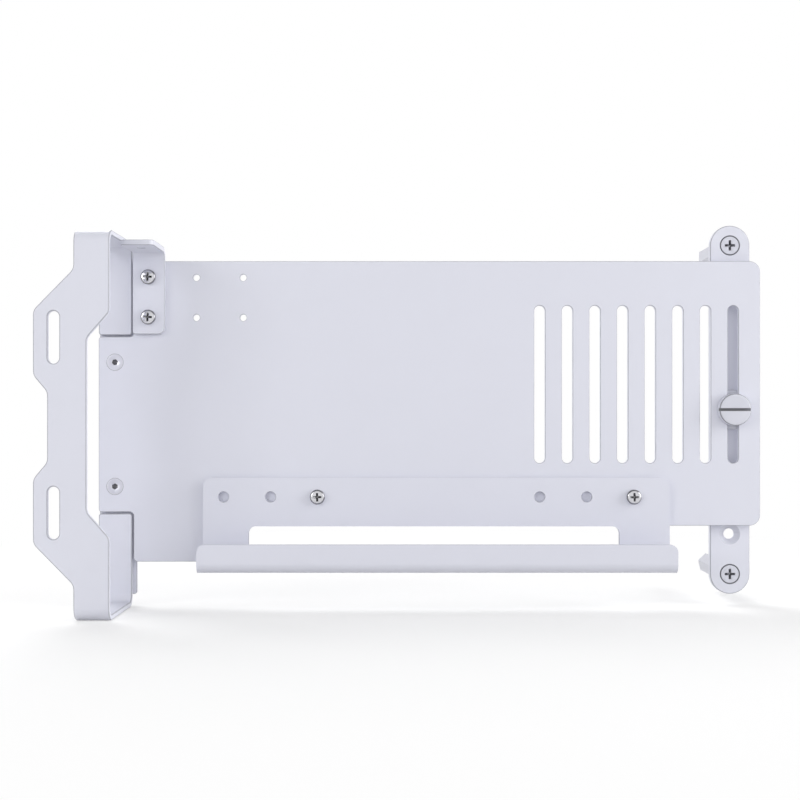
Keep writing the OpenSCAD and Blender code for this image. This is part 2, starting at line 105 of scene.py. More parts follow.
# The outer diameter and the pitch of the two metric threads.
M3, M4 = (3.0, 0.5), (4.0, 0.7)
# How far a cutting tool stands above the face that it cuts.
PROUD = 1.0
# Edges sharper than these are bevelled after a cut, or stay sharp in shading.
BEVEL_ANGLE, SHARP_ANGLE = math.radians(40), math.radians(32)
log = logging.getLogger("mount")


# Geometry in the plane

@dataclass(frozen=True)
class Corner:
    """A corner of a path in the plane, and the radius that rounds it."""

    x: float
    y: float
    radius: float = 0.0

    @property
    def place(self) -> Vector:
        """The corner's place before it is rounded."""
        return Vector((self.x, self.y))


@dataclass(frozen=True)
class PathPoint:
    """A point on a path, with the direction that faces away from the material there."""

    place: Vector
    normal: Vector


def rounded(corners: Sequence[Corner], closed: bool,
            step: float = math.radians(9)) -> list[PathPoint]:
    """Walks along a path whose corners are rounded.

    Args:
        corners: The path's corners, in order, with the material on the left.
        closed: True for a loop. An open path's first and last corners only give its directions.
        step: The largest turn from one point of an arc to the next, in radians.

    Returns:
        The points of all the arcs, each with its normal, to the right of the way.
    """
    count = len(corners)
    points: list[PathPoint] = []
    for i in range(count) if closed else range(1, count - 1):
        here = corners[i]
        u = (corners[i - 1].place - here.place).normalized()
        v = (corners[(i + 1) % count].place - here.place).normalized()
        half = math.acos(max(-1.0, min(1.0, u.dot(v)))) / 2
        centre = here.place + (u + v).normalized() * here.radius / math.sin(half)
        side = 1.0 if v.cross(u) > 0 else -1.0
        first = here.place + u * here.radius / math.tan(half) - centre
        turn = side * (math.pi - 2 * half)
        steps = max(1, math.ceil(abs(turn) / step - 0.01))
        for k in range(steps + 1):
            spoke = Matrix.Rotation(turn * k / steps, 2) @ first
            place = centre + spoke
            if not points or (place - points[-1].place).length > 1e-5:
                points.append(PathPoint(place, side * spoke.normalized()))
    if closed and (points[0].place - points[-1].place).length < 1e-5:
        points.pop()
    return points


def walked(places: Sequence[Vector]) -> list[PathPoint]:
    """Turns a loop's bare points into path points, material on the left.

    Args:
        places: The loop's points, in order, with the material on the left.

    Returns:
        The same points, each with the normal of its two edges, the longer edge counting more.
    """
    count = len(places)
    points = []
    for i, place in enumerate(places):
        before = place - places[i - 1]
        after = places[(i + 1) % count] - place
        way = before * before.length + after * after.length
        points.append(PathPoint(place, Vector((way.y, -way.x)).normalized()))
    return points


# Sheet metal

@dataclass(frozen=True)
class Rim:
    """The section of a sheet's edge, from its rear face to its front face.

    Attributes:
        thickness: The sheet's thickness.
        radius: The rounding of the edge on each face.
        sink: The depth and reach of a countersink on the front face, or 0.
        screwed: True if a screw's head lies in the countersink, whose faces then get painted shade for the
            dark gap round the head.
    """

    thickness: float
    radius: float = 0.3
    sink: float = 0.0
    screwed: bool = False

    def section(self) -> list[PathPoint]:
        """The edge's points, as (reach past the outline, height over the middle of the sheet)."""
        top = self.thickness / 2
        inside = -10 * self.thickness
        corners = [Corner(inside, -top), Corner(0, -top, self.radius)]
        if self.sink:
            corners.append(Corner(0, top - self.sink, self.radius / 2))
        corners += [Corner(-self.sink, top, self.radius), Corner(inside, top)]
        return rounded(corners, closed=False, step=math.radians(30))


@dataclass(frozen=True)
class Loop:
    """A closed edge of a sheet: its outline or one of its holes, with the material on the left."""

    points: list[PathPoint]
    rim: Rim


@dataclass(frozen=True)
class Stretch:
    """A straight or bent length of a folded sheet, measured along the middle of its thickness."""

    length: float
    turn: float = 0.0


@dataclass(frozen=True)
class FoldPath:
    """The way that a sheet takes in the YZ plane when it is folded.

    Attributes:
        start: The (y, z) place of the sheet's middle at flat height 0.
        heading: The angle of the way there, from +Z towards +Y, in radians.
        stretches: What follows, for rising flat heights.
        mirrored: True if negative heights are the mirror image below the middle.
    """

    start: tuple[float, float]
    heading: float = 0.0
    stretches: tuple[Stretch, ...] = ()
    mirrored: bool = False

    def at(self, height: float) -> tuple[Vector, float]:
        """The (y, z) place of the sheet's middle at a flat height of 0 or more, and the heading there."""
        place, heading, left = Vector(self.start), self.heading, height
        for stretch in self.stretches:
            part = min(left, stretch.length)
            if stretch.turn:
                angle = stretch.turn * part / stretch.length
                radius = stretch.length / stretch.turn
                place += radius * (self.normal(heading + angle) - self.normal(heading))
                heading += angle
            else:
                place += part * self.way(heading)
            left -= part
            if left <= 0:
                return place, heading
        return place + left * self.way(heading), heading

    @staticmethod
    def way(heading: float) -> Vector:
        """The (y, z) direction of a heading."""
        return Vector((math.sin(heading), math.cos(heading)))

    @staticmethod
    def normal(heading: float) -> Vector:
        """The (y, z) direction that the sheet's front face looks in at a heading."""
        return Vector((-math.cos(heading), math.sin(heading)))

    def fold(self, flat: Vector, flat_normal: Vector) -> tuple[Vector, Vector]:
        """Folds a point of the flat sheet.

        Args:
            flat: Its x, flat height and height over the middle of the sheet.
            flat_normal: Its normal on the flat sheet.

        Returns:
            The point and its normal in the mount's frame.
        """
        below = self.mirrored and flat.y < 0
        place, heading = self.at(-flat.y if below else flat.y)
        out, way = self.normal(heading), self.way(heading)
        along = -flat_normal.y if below else flat_normal.y
        yz = place + out * flat.z
        turned = way * along + out * flat_normal.z
        sign = -1 if below else 1
        return Vector((flat.x, yz.x, sign * yz.y)), Vector((flat_normal.x, turned.x, sign * turned.y))

    def creases(self, step: float = math.radians(7.5)) -> list[float]:
        """The flat heights at which the sheet is divided so that its bends come out round."""
        heights, here = [], 0.0
        for stretch in self.stretches:
            if stretch.turn:
                count = math.ceil(abs(stretch.turn) / step)
                heights += [here + stretch.length * k / count for k in range(count + 1)]
            here += stretch.length
        return heights + [-h for h in heights] if self.mirrored else heights


def bend(radius: float, thickness: float, turn: float) -> Stretch:
    """A bend with an inner radius, turning by an angle in radians."""
    return Stretch(abs(turn) * (radius + thickness / 2), turn)


@dataclass(frozen=True)
class Sheet:
    """A piece of sheet metal: the loops of its flat form, the outline first, and its folds."""

    loops: list[Loop]
    path: FoldPath

    def mesh(self, name: str) -> bpy.types.Mesh:
        """Makes the folded piece as a closed mesh with exact normals."""
        flat = bmesh.new()
        flat.verts.layers.float_vector.new("facing")
        # Masks for painted shade: the gaps round sunk heads, and the rounded rims.
        for mask in ("hollow", "rim"):
            flat.verts.layers.float.new(mask)
        edges = [self._edge(flat, loop) for loop in self.loops]
        self._cover(flat, [rings[-1] for rings in edges], up=True)
        self._cover(flat, [rings[0] for rings in edges], up=False)
        for height in self.path.creases():
            geometry = flat.verts[:] + flat.edges[:] + flat.faces[:]
            bmesh.ops.bisect_plane(
                flat, geom=geometry, dist=1e-4, plane_co=(0, height, 0), plane_no=(0, 1, 0))
        normals = self._fold(flat)
        mesh = bpy.data.meshes.new(name)
        flat.to_mesh(mesh)
        flat.free()
        mesh.transform(Matrix.Scale(MM, 4))
        mesh.shade_smooth()
        mesh.normals_split_custom_set_from_vertices(normals)
        return mesh

    @staticmethod
    def _edge(flat: bmesh.types.BMesh, loop: Loop) -> list[list[bmesh.types.BMVert]]:
        """Makes the wall along one loop, and returns its rings from the lower face to the upper one."""
        facing = flat.verts.layers.float_vector["facing"]
        hollow, rim = (flat.verts.layers.float[mask] for mask in ("hollow", "rim"))
        rings = []
        for edge in loop.rim.section():
            sunk = edge.place.x > -loop.rim.sink
            ring = []
            for point in loop.points:
                place = point.place + point.normal * edge.place.x
                vert = flat.verts.new((place.x, place.y, edge.place.y))
                side = point.normal * edge.normal.x
                vert[facing] = Vector((side.x, side.y, edge.normal.y))
                # Painted shade in a countersink that holds a screw's head, standing for the dark gap round
                # it.
                vert[hollow] = float(loop.rim.screwed and sunk)
                # Where painted shade darkens the rim; a countersink takes a smaller share of it.
                vert[rim] = SUNK_RIM_SHARE if sunk else 1.0
                ring.append(vert)
            rings.append(ring)
        for lower, upper in pairwise(rings):
            for i in range(len(lower)):
                j = (i + 1) % len(lower)
                flat.faces.new((lower[i], lower[j], upper[j], upper[i]))
        return rings

    def _fold(self, flat: bmesh.types.BMesh) -> list[Vector]:
        """Folds the sheet, marks its rounded rims for painted shade, and returns its points' normals."""
        facing, rim = flat.verts.layers.float_vector["facing"], flat.verts.layers.float["rim"]
        normals = []
        for vert in flat.verts:
            flat_normal = vert[facing].normalized()
            # The rim's painted shade is strongest where its normal leans halfway between face and side.
            vert[rim] *= 2 * abs(flat_normal.z) * flat_normal.xy.length
            vert.co, normal = self.path.fold(vert.co, flat_normal)
            normals.append(normal)
        flat.verts.layers.float_vector.remove(facing)
        return normals

    @staticmethod
    def _cover(flat: bmesh.types.BMesh, rings: list[list[bmesh.types.BMVert]], up: bool) -> None:
        """Fills the face between the outline's ring and the holes' rings with triangles."""
        verts = [vert for ring in rings for vert in ring]
        outlines, start = [], 0
        for ring in rings:
            outlines.append(list(range(start, start + len(ring))))
            start += len(ring)
        plan = [vert.co.xy for vert in verts]
        _, _, triangles, origins, _, _ = delaunay_2d_cdt(plan, [], outlines, 2, 1e-7)
        for triangle in triangles:
            corners = [origins[i][0] for i in triangle]
            a, b, c = (plan[i] for i in corners)
            if ((b - a).cross(c - a) > 0) != up:
                corners.reverse()
            flat.faces.new([verts[i] for i in corners])


# Node trees for what repeats

class TreeBuilder:
    """Writes a geometry node tree, node by node."""

    def __init__(self, name: str, takes_geometry: bool) -> None:
        """Starts a tree that gives a geometry, and takes one too if it is told so."""
        self.tree = bpy.data.node_groups.new(name, "GeometryNodeTree")
        self.tree.interface.new_socket("Geometry", in_out="OUTPUT", socket_type="NodeSocketGeometry")
        if takes_geometry:
            self.tree.interface.new_socket("Geometry", in_out="INPUT", socket_type="NodeSocketGeometry")
        self.entry = self.tree.nodes.new("NodeGroupInput")
        self.exit = self.tree.nodes.new("NodeGroupOutput")

    def size(self, name: str, kind: str = "Float") -> str:
        """Adds a named input of a kind of socket, and returns its name."""
        self.tree.interface.new_socket(name, in_out="INPUT", socket_type=f"NodeSocket{kind}")
        return name

    def given(self, name: str) -> bpy.types.NodeSocket:
        """The socket that carries a named input."""
        return self.entry.outputs[name]

    def node(self, kind: str, settings: dict | None = None, **inputs) -> bpy.types.Node:
        """Adds a node.

        Args:
            kind: The node's type, without the GeometryNode or ShaderNode in front where it has one.
            settings: The node's own properties.
            **inputs: Values or sockets for its inputs, by name with _ for a space, or i0, i1 by place.

        Returns:
            The new node.
        """
        kinds = (f"GeometryNode{kind}", f"ShaderNode{kind}", f"FunctionNode{kind}")
        full = next(k for k in kinds if hasattr(bpy.types, k))
        node = self.tree.nodes.new(full)
        for key, value in (settings or {}).items():
            setattr(node, key, value)
        for key, value in inputs.items():
            by_place = key[0] == "i" and key[1:].isdigit()
            socket = node.inputs[int(key[1:])] if by_place else node.inputs[key.replace("_", " ")]
            if isinstance(value, bpy.types.NodeSocket):
                self.tree.links.new(value, socket)
            else:
                socket.default_value = value
        return node

    def maths(self, operation: str, *values: float | bpy.types.NodeSocket) -> bpy.types.NodeSocket:
        """Adds a maths node on numbers or sockets, and returns its result."""
        inputs = {f"i{i}": value for i, value in enumerate(values)}
        return self.node("Math", {"operation": operation}, **inputs).outputs[0]

    def finish(self, geometry: bpy.types.NodeSocket) -> bpy.types.NodeTree:
        """Ends the tree in Realize Instances and Set Material, and returns it."""
        self.size("Material", "Material")
        real = self.node("RealizeInstances", Geometry=geometry)
        dressed = self.node("SetMaterial", Geometry=real.outputs[0], Material=self.given("Material"))
        self.tree.links.new(dressed.outputs[0], self.exit.inputs[0])
        return self.tree


def grown(name: str, tree: bpy.types.NodeTree, values: dict,
          base: bpy.types.Mesh | None = None) -> bpy.types.Mesh:
    """Runs a node tree and keeps its result as a plain mesh.

    Args:
        name: The mesh's name.
        tree: The tree.
        values: The tree's named inputs.
        base: The mesh that the tree starts from, or None.

    Returns:
        The mesh. The object and the modifier that made it are gone.
    """
    carrier = bpy.data.objects.new(name, base or bpy.data.meshes.new(name))
    bpy.context.scene.collection.objects.link(carrier)
    modifier = carrier.modifiers.new(name, "NODES")
    modifier.node_group = tree
    for item in tree.interface.items_tree:
        if item.in_out == "INPUT" and item.name in values:
            modifier[item.identifier] = values[item.name]
    graph = bpy.context.evaluated_depsgraph_get()
    mesh = bpy.data.meshes.new_from_object(carrier.evaluated_get(graph), depsgraph=graph)
    carrier.modifiers.remove(modifier)
    bpy.data.objects.remove(carrier)
    mesh.name = name
    return mesh


def perforation_tree() -> bpy.types.NodeTree:
    """A grid of slots or round holes, as closed wires: what repeats in the sheets."""
    build = TreeBuilder("perforations", takes_geometry=False)
    for name in ("Columns", "Rows", "Arc points"):
        build.size(name, "Int")
    for name in ("Column pitch", "Row pitch", "Width", "Length"):
        build.size(name)
    columns, rows = build.given("Columns"), build.given("Rows")
    wide = build.maths("MULTIPLY", build.maths("SUBTRACT", columns, 1), build.given("Column pitch"))
    tall = build.maths("MULTIPLY", build.maths("SUBTRACT", rows, 1), build.given("Row pitch"))
    across = build.node("CombineXYZ", X=build.given("Column pitch")).outputs[0]
    up = build.node("CombineXYZ", Y=build.given("Row pitch")).outputs[0]
    half = build.node("CombineXYZ", X=build.maths("MULTIPLY", wide, -0.5),
                      Y=build.maths("MULTIPLY", tall, -0.5)).outputs[0]
    row = build.node("MeshLine", {"mode": "OFFSET"}, Count=columns, Start_Location=half, Offset=across)
    column = build.node("MeshLine", {"mode": "OFFSET"}, Count=rows, Offset=up)
    grid = build.node("InstanceOnPoints", Points=row.outputs[0], Instance=column.outputs[0])
    places = build.node("RealizeInstances", Geometry=grid.outputs[0])
    frame = build.node("CurvePrimitiveQuadrilateral",
                       Width=build.given("Width"), Height=build.given("Length"))
    fillet = build.node(
        "FilletCurve", {"mode": "POLY"}, Curve=frame.outputs[0], Count=build.given("Arc points"),
        Radius=build.maths("MULTIPLY", build.given("Width"), 0.5), Limit_Radius=True)
    holes = build.node("InstanceOnPoints", Points=places.outputs[0], Instance=fillet.outputs[0])
    real = build.node("RealizeInstances", Geometry=holes.outputs[0])
    wires = build.node("CurveToMesh", Curve=real.outputs[0])
    return build.finish(wires.outputs[0])


@dataclass(frozen=True)
class Perforation:
    """A grid of equal slots or round holes in a sheet.

    Attributes:
        centre: The grid's middle, as (x, flat height).
        width: The width of a slot, or a hole's diameter.
        length: The length of a slot from end to end, or the diameter again.
        columns: The number of columns.
        rows: The number of rows.
        column_pitch: The distance between columns.
        row_pitch: The distance between rows.
    """

    centre: tuple[float, float]
    width: float
    length: float
    columns: int = 1
    rows: int = 1
    column_pitch: float = 0.0
    row_pitch: float = 0.0

    def loops(self, tree: bpy.types.NodeTree, rim: Rim) -> list[Loop]:
        """Runs the perforation tree and returns the holes' loops, each with a rim."""
        wires = grown("perforations", tree, {
            "Columns": self.columns, "Rows": self.rows, "Column pitch": self.column_pitch,
            "Row pitch": self.row_pitch, "Width": self.width, "Length": self.length, "Arc points": 12,
        })
        found = [Loop(walked(self._clockwise(ring)), rim) for ring in self._rings(wires)]
        bpy.data.meshes.remove(wires)
        return found

    def _rings(self, wires: bpy.types.Mesh) -> Iterable[list[Vector]]:
        """Follows the wires' edges round each hole."""
        nearby: dict[int, list[int]] = {}
        for edge in wires.edges:
            a, b = edge.vertices
            nearby.setdefault(a, []).append(b)
            nearby.setdefault(b, []).append(a)
        middle = Vector(self.centre)
        while nearby:
            here = next(iter(nearby))
            ring: list[Vector] = []
            while here in nearby:
                place = wires.vertices[here].co.xy + middle
                if not ring or (place - ring[-1]).length > 1e-4:
                    ring.append(place)
                ahead = [n for n in nearby.pop(here) if n in nearby]
                here = ahead[0] if ahead else -1
            if (ring[0] - ring[-1]).length < 1e-4:
                ring.pop()
            yield ring

    @staticmethod
    def _clockwise(ring: list[Vector]) -> list[Vector]:
        """The ring's points in clockwise order, which leaves the material on the left."""
        area = sum(ring[i - 1].cross(ring[i]) for i in range(len(ring)))
        return ring[::-1] if area > 0 else ring


def fastener_tree() -> bpy.types.NodeTree:
    """Screws or posts at points, each with a thread that is worked out from its pitch."""
    build = TreeBuilder("fasteners", takes_geometry=True)
    build.size("Part", "Object")
    for name in ("Sides", "Turn steps"):
        build.size(name, "Int")
    for name in ("Thread radius", "Thread depth", "Pitch", "Thread start", "Thread length"):
        build.size(name)
    radius, depth, length = (build.given(n) for n in ("Thread radius", "Thread depth", "Thread length"))
    turns = build.maths("DIVIDE", length, build.given("Pitch"))
    steps = build.maths("ROUND", build.maths("MULTIPLY", turns, build.given("Turn steps")))
    rod = build.node("MeshCylinder", {"fill_type": "NGON"}, Vertices=build.given("Sides"),
                     Side_Segments=steps, Radius=radius, Depth=length)
    place = build.node("SeparateXYZ", Vector=build.node("InputPosition").outputs[0])
    x, y, z = place.outputs[:3]
    angle = build.maths("DIVIDE", build.maths("ARCTAN2", y, x), 2 * math.pi)
    along = build.maths("DIVIDE", z, build.given("Pitch"))
    phase = build.maths("FRACT", build.maths("SUBTRACT", along, angle))
    groove = build.maths("ABSOLUTE", build.maths("SUBTRACT", build.maths("MULTIPLY", phase, 2.0), 1.0))
    flank = build.maths("MINIMUM", build.maths("MULTIPLY", groove, 1.25), 1.0)
    cut = build.maths("SUBTRACT", radius, build.maths("MULTIPLY", depth, flank))
    tip = build.maths("ADD", z, build.maths("MULTIPLY", length, 0.5))
    lead = build.maths("ADD", build.maths("SUBTRACT", radius, depth), tip)
    share = build.maths("DIVIDE", build.maths("MINIMUM", cut, lead), radius)
    lowered = build.maths("ADD", build.maths("SUBTRACT", z, build.maths("MULTIPLY", length, 0.5)),
                          build.given("Thread start"))
    shaped = build.node("CombineXYZ", X=build.maths("MULTIPLY", x, share),
                        Y=build.maths("MULTIPLY", y, share), Z=lowered)
    thread = build.node("SetPosition", Geometry=rod.outputs[0], Position=shaped.outputs[0])
    part = build.node("ObjectInfo", Object=build.given("Part"))
    whole = build.node("JoinGeometry")
    build.tree.links.new(thread.outputs[0], whole.inputs[0])
    build.tree.links.new(part.outputs["Geometry"], whole.inputs[0])
    turn = build.node("InputNamedAttribute", {"data_type": "FLOAT"}, Name="turn")
    euler = build.node("CombineXYZ", X=math.pi / 2, Y=build.maths("MULTIPLY", turn.outputs[0], -1.0))
    facing = build.node("EulerToRotation", Euler=euler.outputs[0])
    placed = build.node("InstanceOnPoints", Points=build.given("Geometry"), Instance=whole.outputs[0],
                        Rotation=facing.outputs[0])
    return build.finish(placed.outputs[0])


# Turned and milled parts

class Recess(Enum):
    """The forms of drive in a screw's head."""

    CROSS = "cross"
    HEXAGON = "hexagon"
    COIN_SLOT = "coin slot"


def loft(name: str, rings: Sequence[Sequence[Vector]]) -> bpy.types.Mesh:
    """Makes a closed mesh through rings of as many points each, from the lowest to the highest.

    Args:
        name: The mesh's name.
        rings: The rings, anticlockwise seen from above. A ring of equal points closes in a pole.

    Returns:
        The mesh, in millimetres.
    """
    form = bmesh.new()
    loops = [[form.verts.new(point) for point in ring] for ring in rings]
    for lower, upper in pairwise(loops):
        for i in range(len(lower)):
            j = (i + 1) % len(lower)
            form.faces.new((lower[i], lower[j], upper[j], upper[i]))
    form.faces.new(loops[0][::-1])
    form.faces.new(loops[-1])
    bmesh.ops.remove_doubles(form, verts=form.verts[:], dist=1e-4)
    bmesh.ops.dissolve_degenerate(form, dist=1e-5, edges=form.edges[:])
    mesh = bpy.data.meshes.new(name)
    form.to_mesh(mesh)
    form.free()
    return mesh


def turned(name: str, section: Sequence[Vector], sides: int = 48) -> bpy.types.Mesh:
    """Turns a half section of (radius, height) points about Z, from its lowest point to its highest."""
    angles = [2 * math.pi * i / sides for i in range(sides)]
    rings = [[Vector((p.x * math.cos(a), p.x * math.sin(a), p.y)) for a in angles] for p in section]
    return loft(name, rings)


def cutter(recess: Recess, width: float, depth: float, top: float) -> bpy.types.Mesh:
    """Makes the tool that sinks a recess.

    Args:
        recess: The form of the recess.
        width: Its width over all at the face: the cross's arms, the hexagon's flats or the slot's width.
        depth: Its depth.
        top: The height of the face that it is sunk into.

    Returns:
        The tool as a closed mesh that stands proud of the face.
    """
    half = width / 2
    if recess is Recess.CROSS:
        levels = ((-depth, 0.3, 0.12), (-depth * 0.4, 0.92, 0.2), (0.0, 1.0, 0.23), (PROUD, 1.1, 0.26))
        rings = []
        for z, reach, arm in levels:
            ring = []
            for quarter in range(4):
                turn = Matrix.Rotation(quarter * math.pi / 2, 2)
                points = ((reach, -arm), (reach, arm), (arm * 1.1, arm * 1.1))
                ring += [(turn @ Vector(point) * half).to_3d() for point in points]
            rings.append([point + Vector((0, 0, top + z)) for point in ring])
    elif recess is Recess.HEXAGON:
        corner_r = half / math.cos(math.radians(30))
        angles = [math.radians(60 * k) for k in range(6)]
        levels = ((-depth - 0.35 * half, 0.02), (-depth, 1.0), (PROUD, 1.0))
        rings = [[Vector((corner_r * s * math.cos(a), corner_r * s * math.sin(a), top + z)) for a in angles]
                 for z, s in levels]
    else:
        reach = 10 * width
        corners = ((-reach, -half), (reach, -half), (reach, half), (-reach, half))
        rings = [[Vector((x, y, top + z)) for x, y in corners] for z in (-depth, PROUD)]
    tool = loft("cutter", rings)
    # The tool's faces become the recess's walls and get painted shade, so the recess looks dark.
    tool.attributes.new("hollow", "FLOAT", "FACE").data.foreach_set("value", [1.0] * len(tool.polygons))
    return tool


def machined(part: bpy.types.Mesh, tool: bpy.types.Mesh, operation: str,
             edge: float = 0.05) -> bpy.types.Mesh:
    """Cuts one mesh with another and breaks the new edges.

    Args:
        part: The mesh that is cut. It is used up.
        tool: The mesh that cuts it. It is used up.
        operation: DIFFERENCE or INTERSECT.
        edge: The width of the broken edges, or 0.

    Returns:
        The result as a plain mesh.
    """
    scene = bpy.context.scene.collection.objects
    work = bpy.data.objects.new(part.name, part)
    knife = bpy.data.objects.new(tool.name, tool)
    scene.link(work)
    scene.link(knife)
    boolean = work.modifiers.new("cut", "BOOLEAN")
    boolean.operation, boolean.object, boolean.solver = operation, knife, "EXACT"
    if edge:
        bevel = work.modifiers.new("edges", "BEVEL")
        bevel.width, bevel.segments, bevel.limit_method = edge, 2, "ANGLE"
        bevel.angle_limit, bevel.use_clamp_overlap = BEVEL_ANGLE, True
    graph = bpy.context.evaluated_depsgraph_get()
    mesh = bpy.data.meshes.new_from_object(work.evaluated_get(graph), depsgraph=graph)
    for item in (work, knife):
        old = item.data
        bpy.data.objects.remove(item)
        bpy.data.meshes.remove(old)
    return mesh


@dataclass(frozen=True)
class Head:
    """A screw head and its recess.

    Attributes:
        recess: The form of its drive.
        diameter: Its diameter.
        height: Its height, or how far a countersunk head goes down to its shank.
        rim: The height of its straight side.
        shank: The radius where it meets the shank, for a countersunk head.
        recess_width: The width of the recess.
        recess_depth: The depth of the recess.
        round: The rounding of its upper edge.
        crown: How much higher its middle is than its edge.
        head_painted_shade: The strength of the painted shade on its edge, from 0 to 1: a dark outline round
            a raised head's rounded edge, and a dark gap round a sunk head.
        edge_facing: The heights of the normals between which a raised head's edge gets that painted shade.
    """

    recess: Recess
    diameter: float
    height: float
    recess_width: float
    recess_depth: float
    rim: float = 0.15
    shank: float = 1.5
    round: float = 0.1
    crown: float = 0.0
    head_painted_shade: float = 0.8
    edge_facing: tuple[float, float] = (0.12, 0.86)

    def raised(self) -> bpy.types.Mesh:
        """A head that stands on the sheet, its underside at height 0."""
        radius, edge = self.diameter / 2, self.height - self.crown
        corners = [Corner(0, 0), Corner(radius, 0, 0.1), Corner(radius, edge, self.round),
                   Corner(0, self.height)]
        walk = [p.place for p in rounded(corners, closed=False, step=math.radians(12))]
        return self._recessed([Vector((0, 0)), *walk, Vector((0, self.height))], self.height)

    def countersunk(self) -> bpy.types.Mesh:
        """A head that lies in the sheet, its face at height 0."""
        radius = self.diameter / 2
        corners = [Corner(0, -self.height), Corner(self.shank, -self.height, 0.05),
                   Corner(radius, -self.rim, 0.05), Corner(radius, 0, 0.08), Corner(0, 0)]
        walk = [p.place for p in rounded(corners, closed=False, step=math.radians(20))]
        return self._recessed([Vector((0, -self.height)), *walk, Vector((0, 0))], 0.0)

    def _recessed(self, section: list[Vector], top: float) -> bpy.types.Mesh:
        """The turned head with its recess cut."""
        tool = cutter(self.recess, self.recess_width, self.recess_depth, top)
        blank = turned("head", section, sides=64)
        # Painted shade on the head: its rounded edge on a raised head, and everything below the face on a
        # sunk head.
        steepest, flattest = self.edge_facing
        edge = [face.normal.z < flattest and (face.normal.z > steepest or not top)
                for face in blank.polygons]
        shades = [self.head_painted_shade * marked for marked in edge]
        blank.attributes.new("hollow", "FLOAT", "FACE").data.foreach_set("value", shades)
        return machined(blank, tool, "DIFFERENCE")


# Finishes

@dataclass(frozen=True)
class Finish:
    """A surface finish: one node material, made once and shared by its pieces.

    Attributes:
        slot: The record's material slot that the finish belongs to.
        colour: Its base colour, linear.
        roughness: Its mean roughness.
        metallic: 1 for bare or plated metal, else 0.
        grain: The size of its surface grain.
        grain_height: The height of that grain.
        mottle: The share by which its colour varies over the surface.
        specular: The strength of its reflection on a coat that isn't metal.
        painted_rim_shade: The share of painted shade on the rounded rims of sheets, which darkens them into
            thin outlines.
        hollow: The share of painted shade in recesses, on bevels of heads and in the gaps round sunk heads.
        mottle_size: The size over which its colour varies.
        gloss_size: The size over which its roughness varies.
        gloss_spread: How far the roughness goes above and below its mean.
    """

    slot: str
    colour: tuple[float, float, float]
    roughness: float
    metallic: float = 0.0
    grain: float = 0.5
    grain_height: float = 0.002
    mottle: float = 0.01
    specular: float = 0.5
    painted_rim_shade: float = 0.0
    hollow: float = 0.0
    mottle_size: float = 22.0
    gloss_size: float = 6.0
    gloss_spread: float = 0.04

    def material(self) -> bpy.types.Material:
        """Makes the finish's material, or finds it where it has been made."""
        name = f"{self.slot}_finish"
        known = bpy.data.materials.get(name)
        if known:
            return known
        made = bpy.data.materials.new(name)
        made.use_nodes = True
        nodes, links = made.node_tree.nodes, made.node_tree.links
        shader = nodes["Principled BSDF"]
        shader.inputs["Metallic"].default_value = self.metallic
        shader.inputs["Specular IOR Level"].default_value = self.specular
        place = nodes.new("ShaderNodeTexCoord").outputs["Object"]
        cloud = self._noise(nodes, links, place, self.mottle_size, 2.0)
        tint = nodes.new("ShaderNodeMix")
        tint.data_type = "RGBA"
        tint.inputs["A"].default_value = self._shade(1 - self.mottle)
        tint.inputs["B"].default_value = self._shade(1 + self.mottle)
        links.new(cloud, tint.inputs["Factor"])
        colour = tint.outputs["Result"]
        # Painted shade from two masks: the sheets' rounded rims, and the recesses, head edges and gaps
        # round sunk heads.
        for mask, share in (("rim", self.painted_rim_shade), ("hollow", self.hollow)):
            if share:
                where = nodes.new("ShaderNodeAttribute")
                where.attribute_name = mask
                colour = self._darkened(nodes, links, colour, where.outputs["Fac"], 1 - share)
        links.new(colour, shader.inputs["Base Color"])
        gloss = nodes.new("ShaderNodeMapRange")
        gloss.inputs["To Min"].default_value = self.roughness - self.gloss_spread
        gloss.inputs["To Max"].default_value = self.roughness + self.gloss_spread
        links.new(self._noise(nodes, links, place, self.gloss_size, 3.0), gloss.inputs["Value"])
        links.new(gloss.outputs["Result"], shader.inputs["Roughness"])
        self.texture(nodes, links, place, shader)
        return made

    def texture(self, nodes: bpy.types.Nodes, links: bpy.types.NodeLinks,
                place: bpy.types.NodeSocket, shader: bpy.types.Node) -> None:
        """Adds the finish's fine relief."""
        bump = nodes.new("ShaderNodeBump")
        bump.inputs["Distance"].default_value = self.grain_height * MM
        links.new(self._noise(nodes, links, place, self.grain, 2.0), bump.inputs["Height"])
        links.new(bump.outputs["Normal"], shader.inputs["Normal"])

    @staticmethod
    def _darkened(nodes: bpy.types.Nodes, links: bpy.types.NodeLinks, colour: bpy.types.NodeSocket,
                  where: bpy.types.NodeSocket, low: float) -> bpy.types.NodeSocket:
        """Adds a colour times a share that goes from 1 to low as a mask goes from 0 to 1."""
        share = nodes.new("ShaderNodeMapRange")
        share.inputs["To Min"].default_value, share.inputs["To Max"].default_value = 1.0, low
        links.new(where, share.inputs["Value"])
        product = nodes.new("ShaderNodeVectorMath")
        product.operation = "SCALE"
        links.new(colour, product.inputs["Vector"])
        links.new(share.outputs["Result"], product.inputs["Scale"])
        return product.outputs["Vector"]

    def _shade(self, share: float) -> tuple[float, float, float, float]:
        """The base colour, lighter or darker by a share."""
        return tuple(min(1.0, c * share) for c in self.colour) + (1.0,)

    @staticmethod
    def _noise(nodes: bpy.types.Nodes, links: bpy.types.NodeLinks, place: bpy.types.NodeSocket,
               size: float, detail: float) -> bpy.types.NodeSocket:
        """Adds a noise whose features measure a size in millimetres."""
        noise = nodes.new("ShaderNodeTexNoise")
        noise.inputs["Scale"].default_value = 1 / (size * MM)
        noise.inputs["Detail"].default_value = detail
        links.new(place, noise.inputs["Vector"])
        return noise.outputs["Fac"]


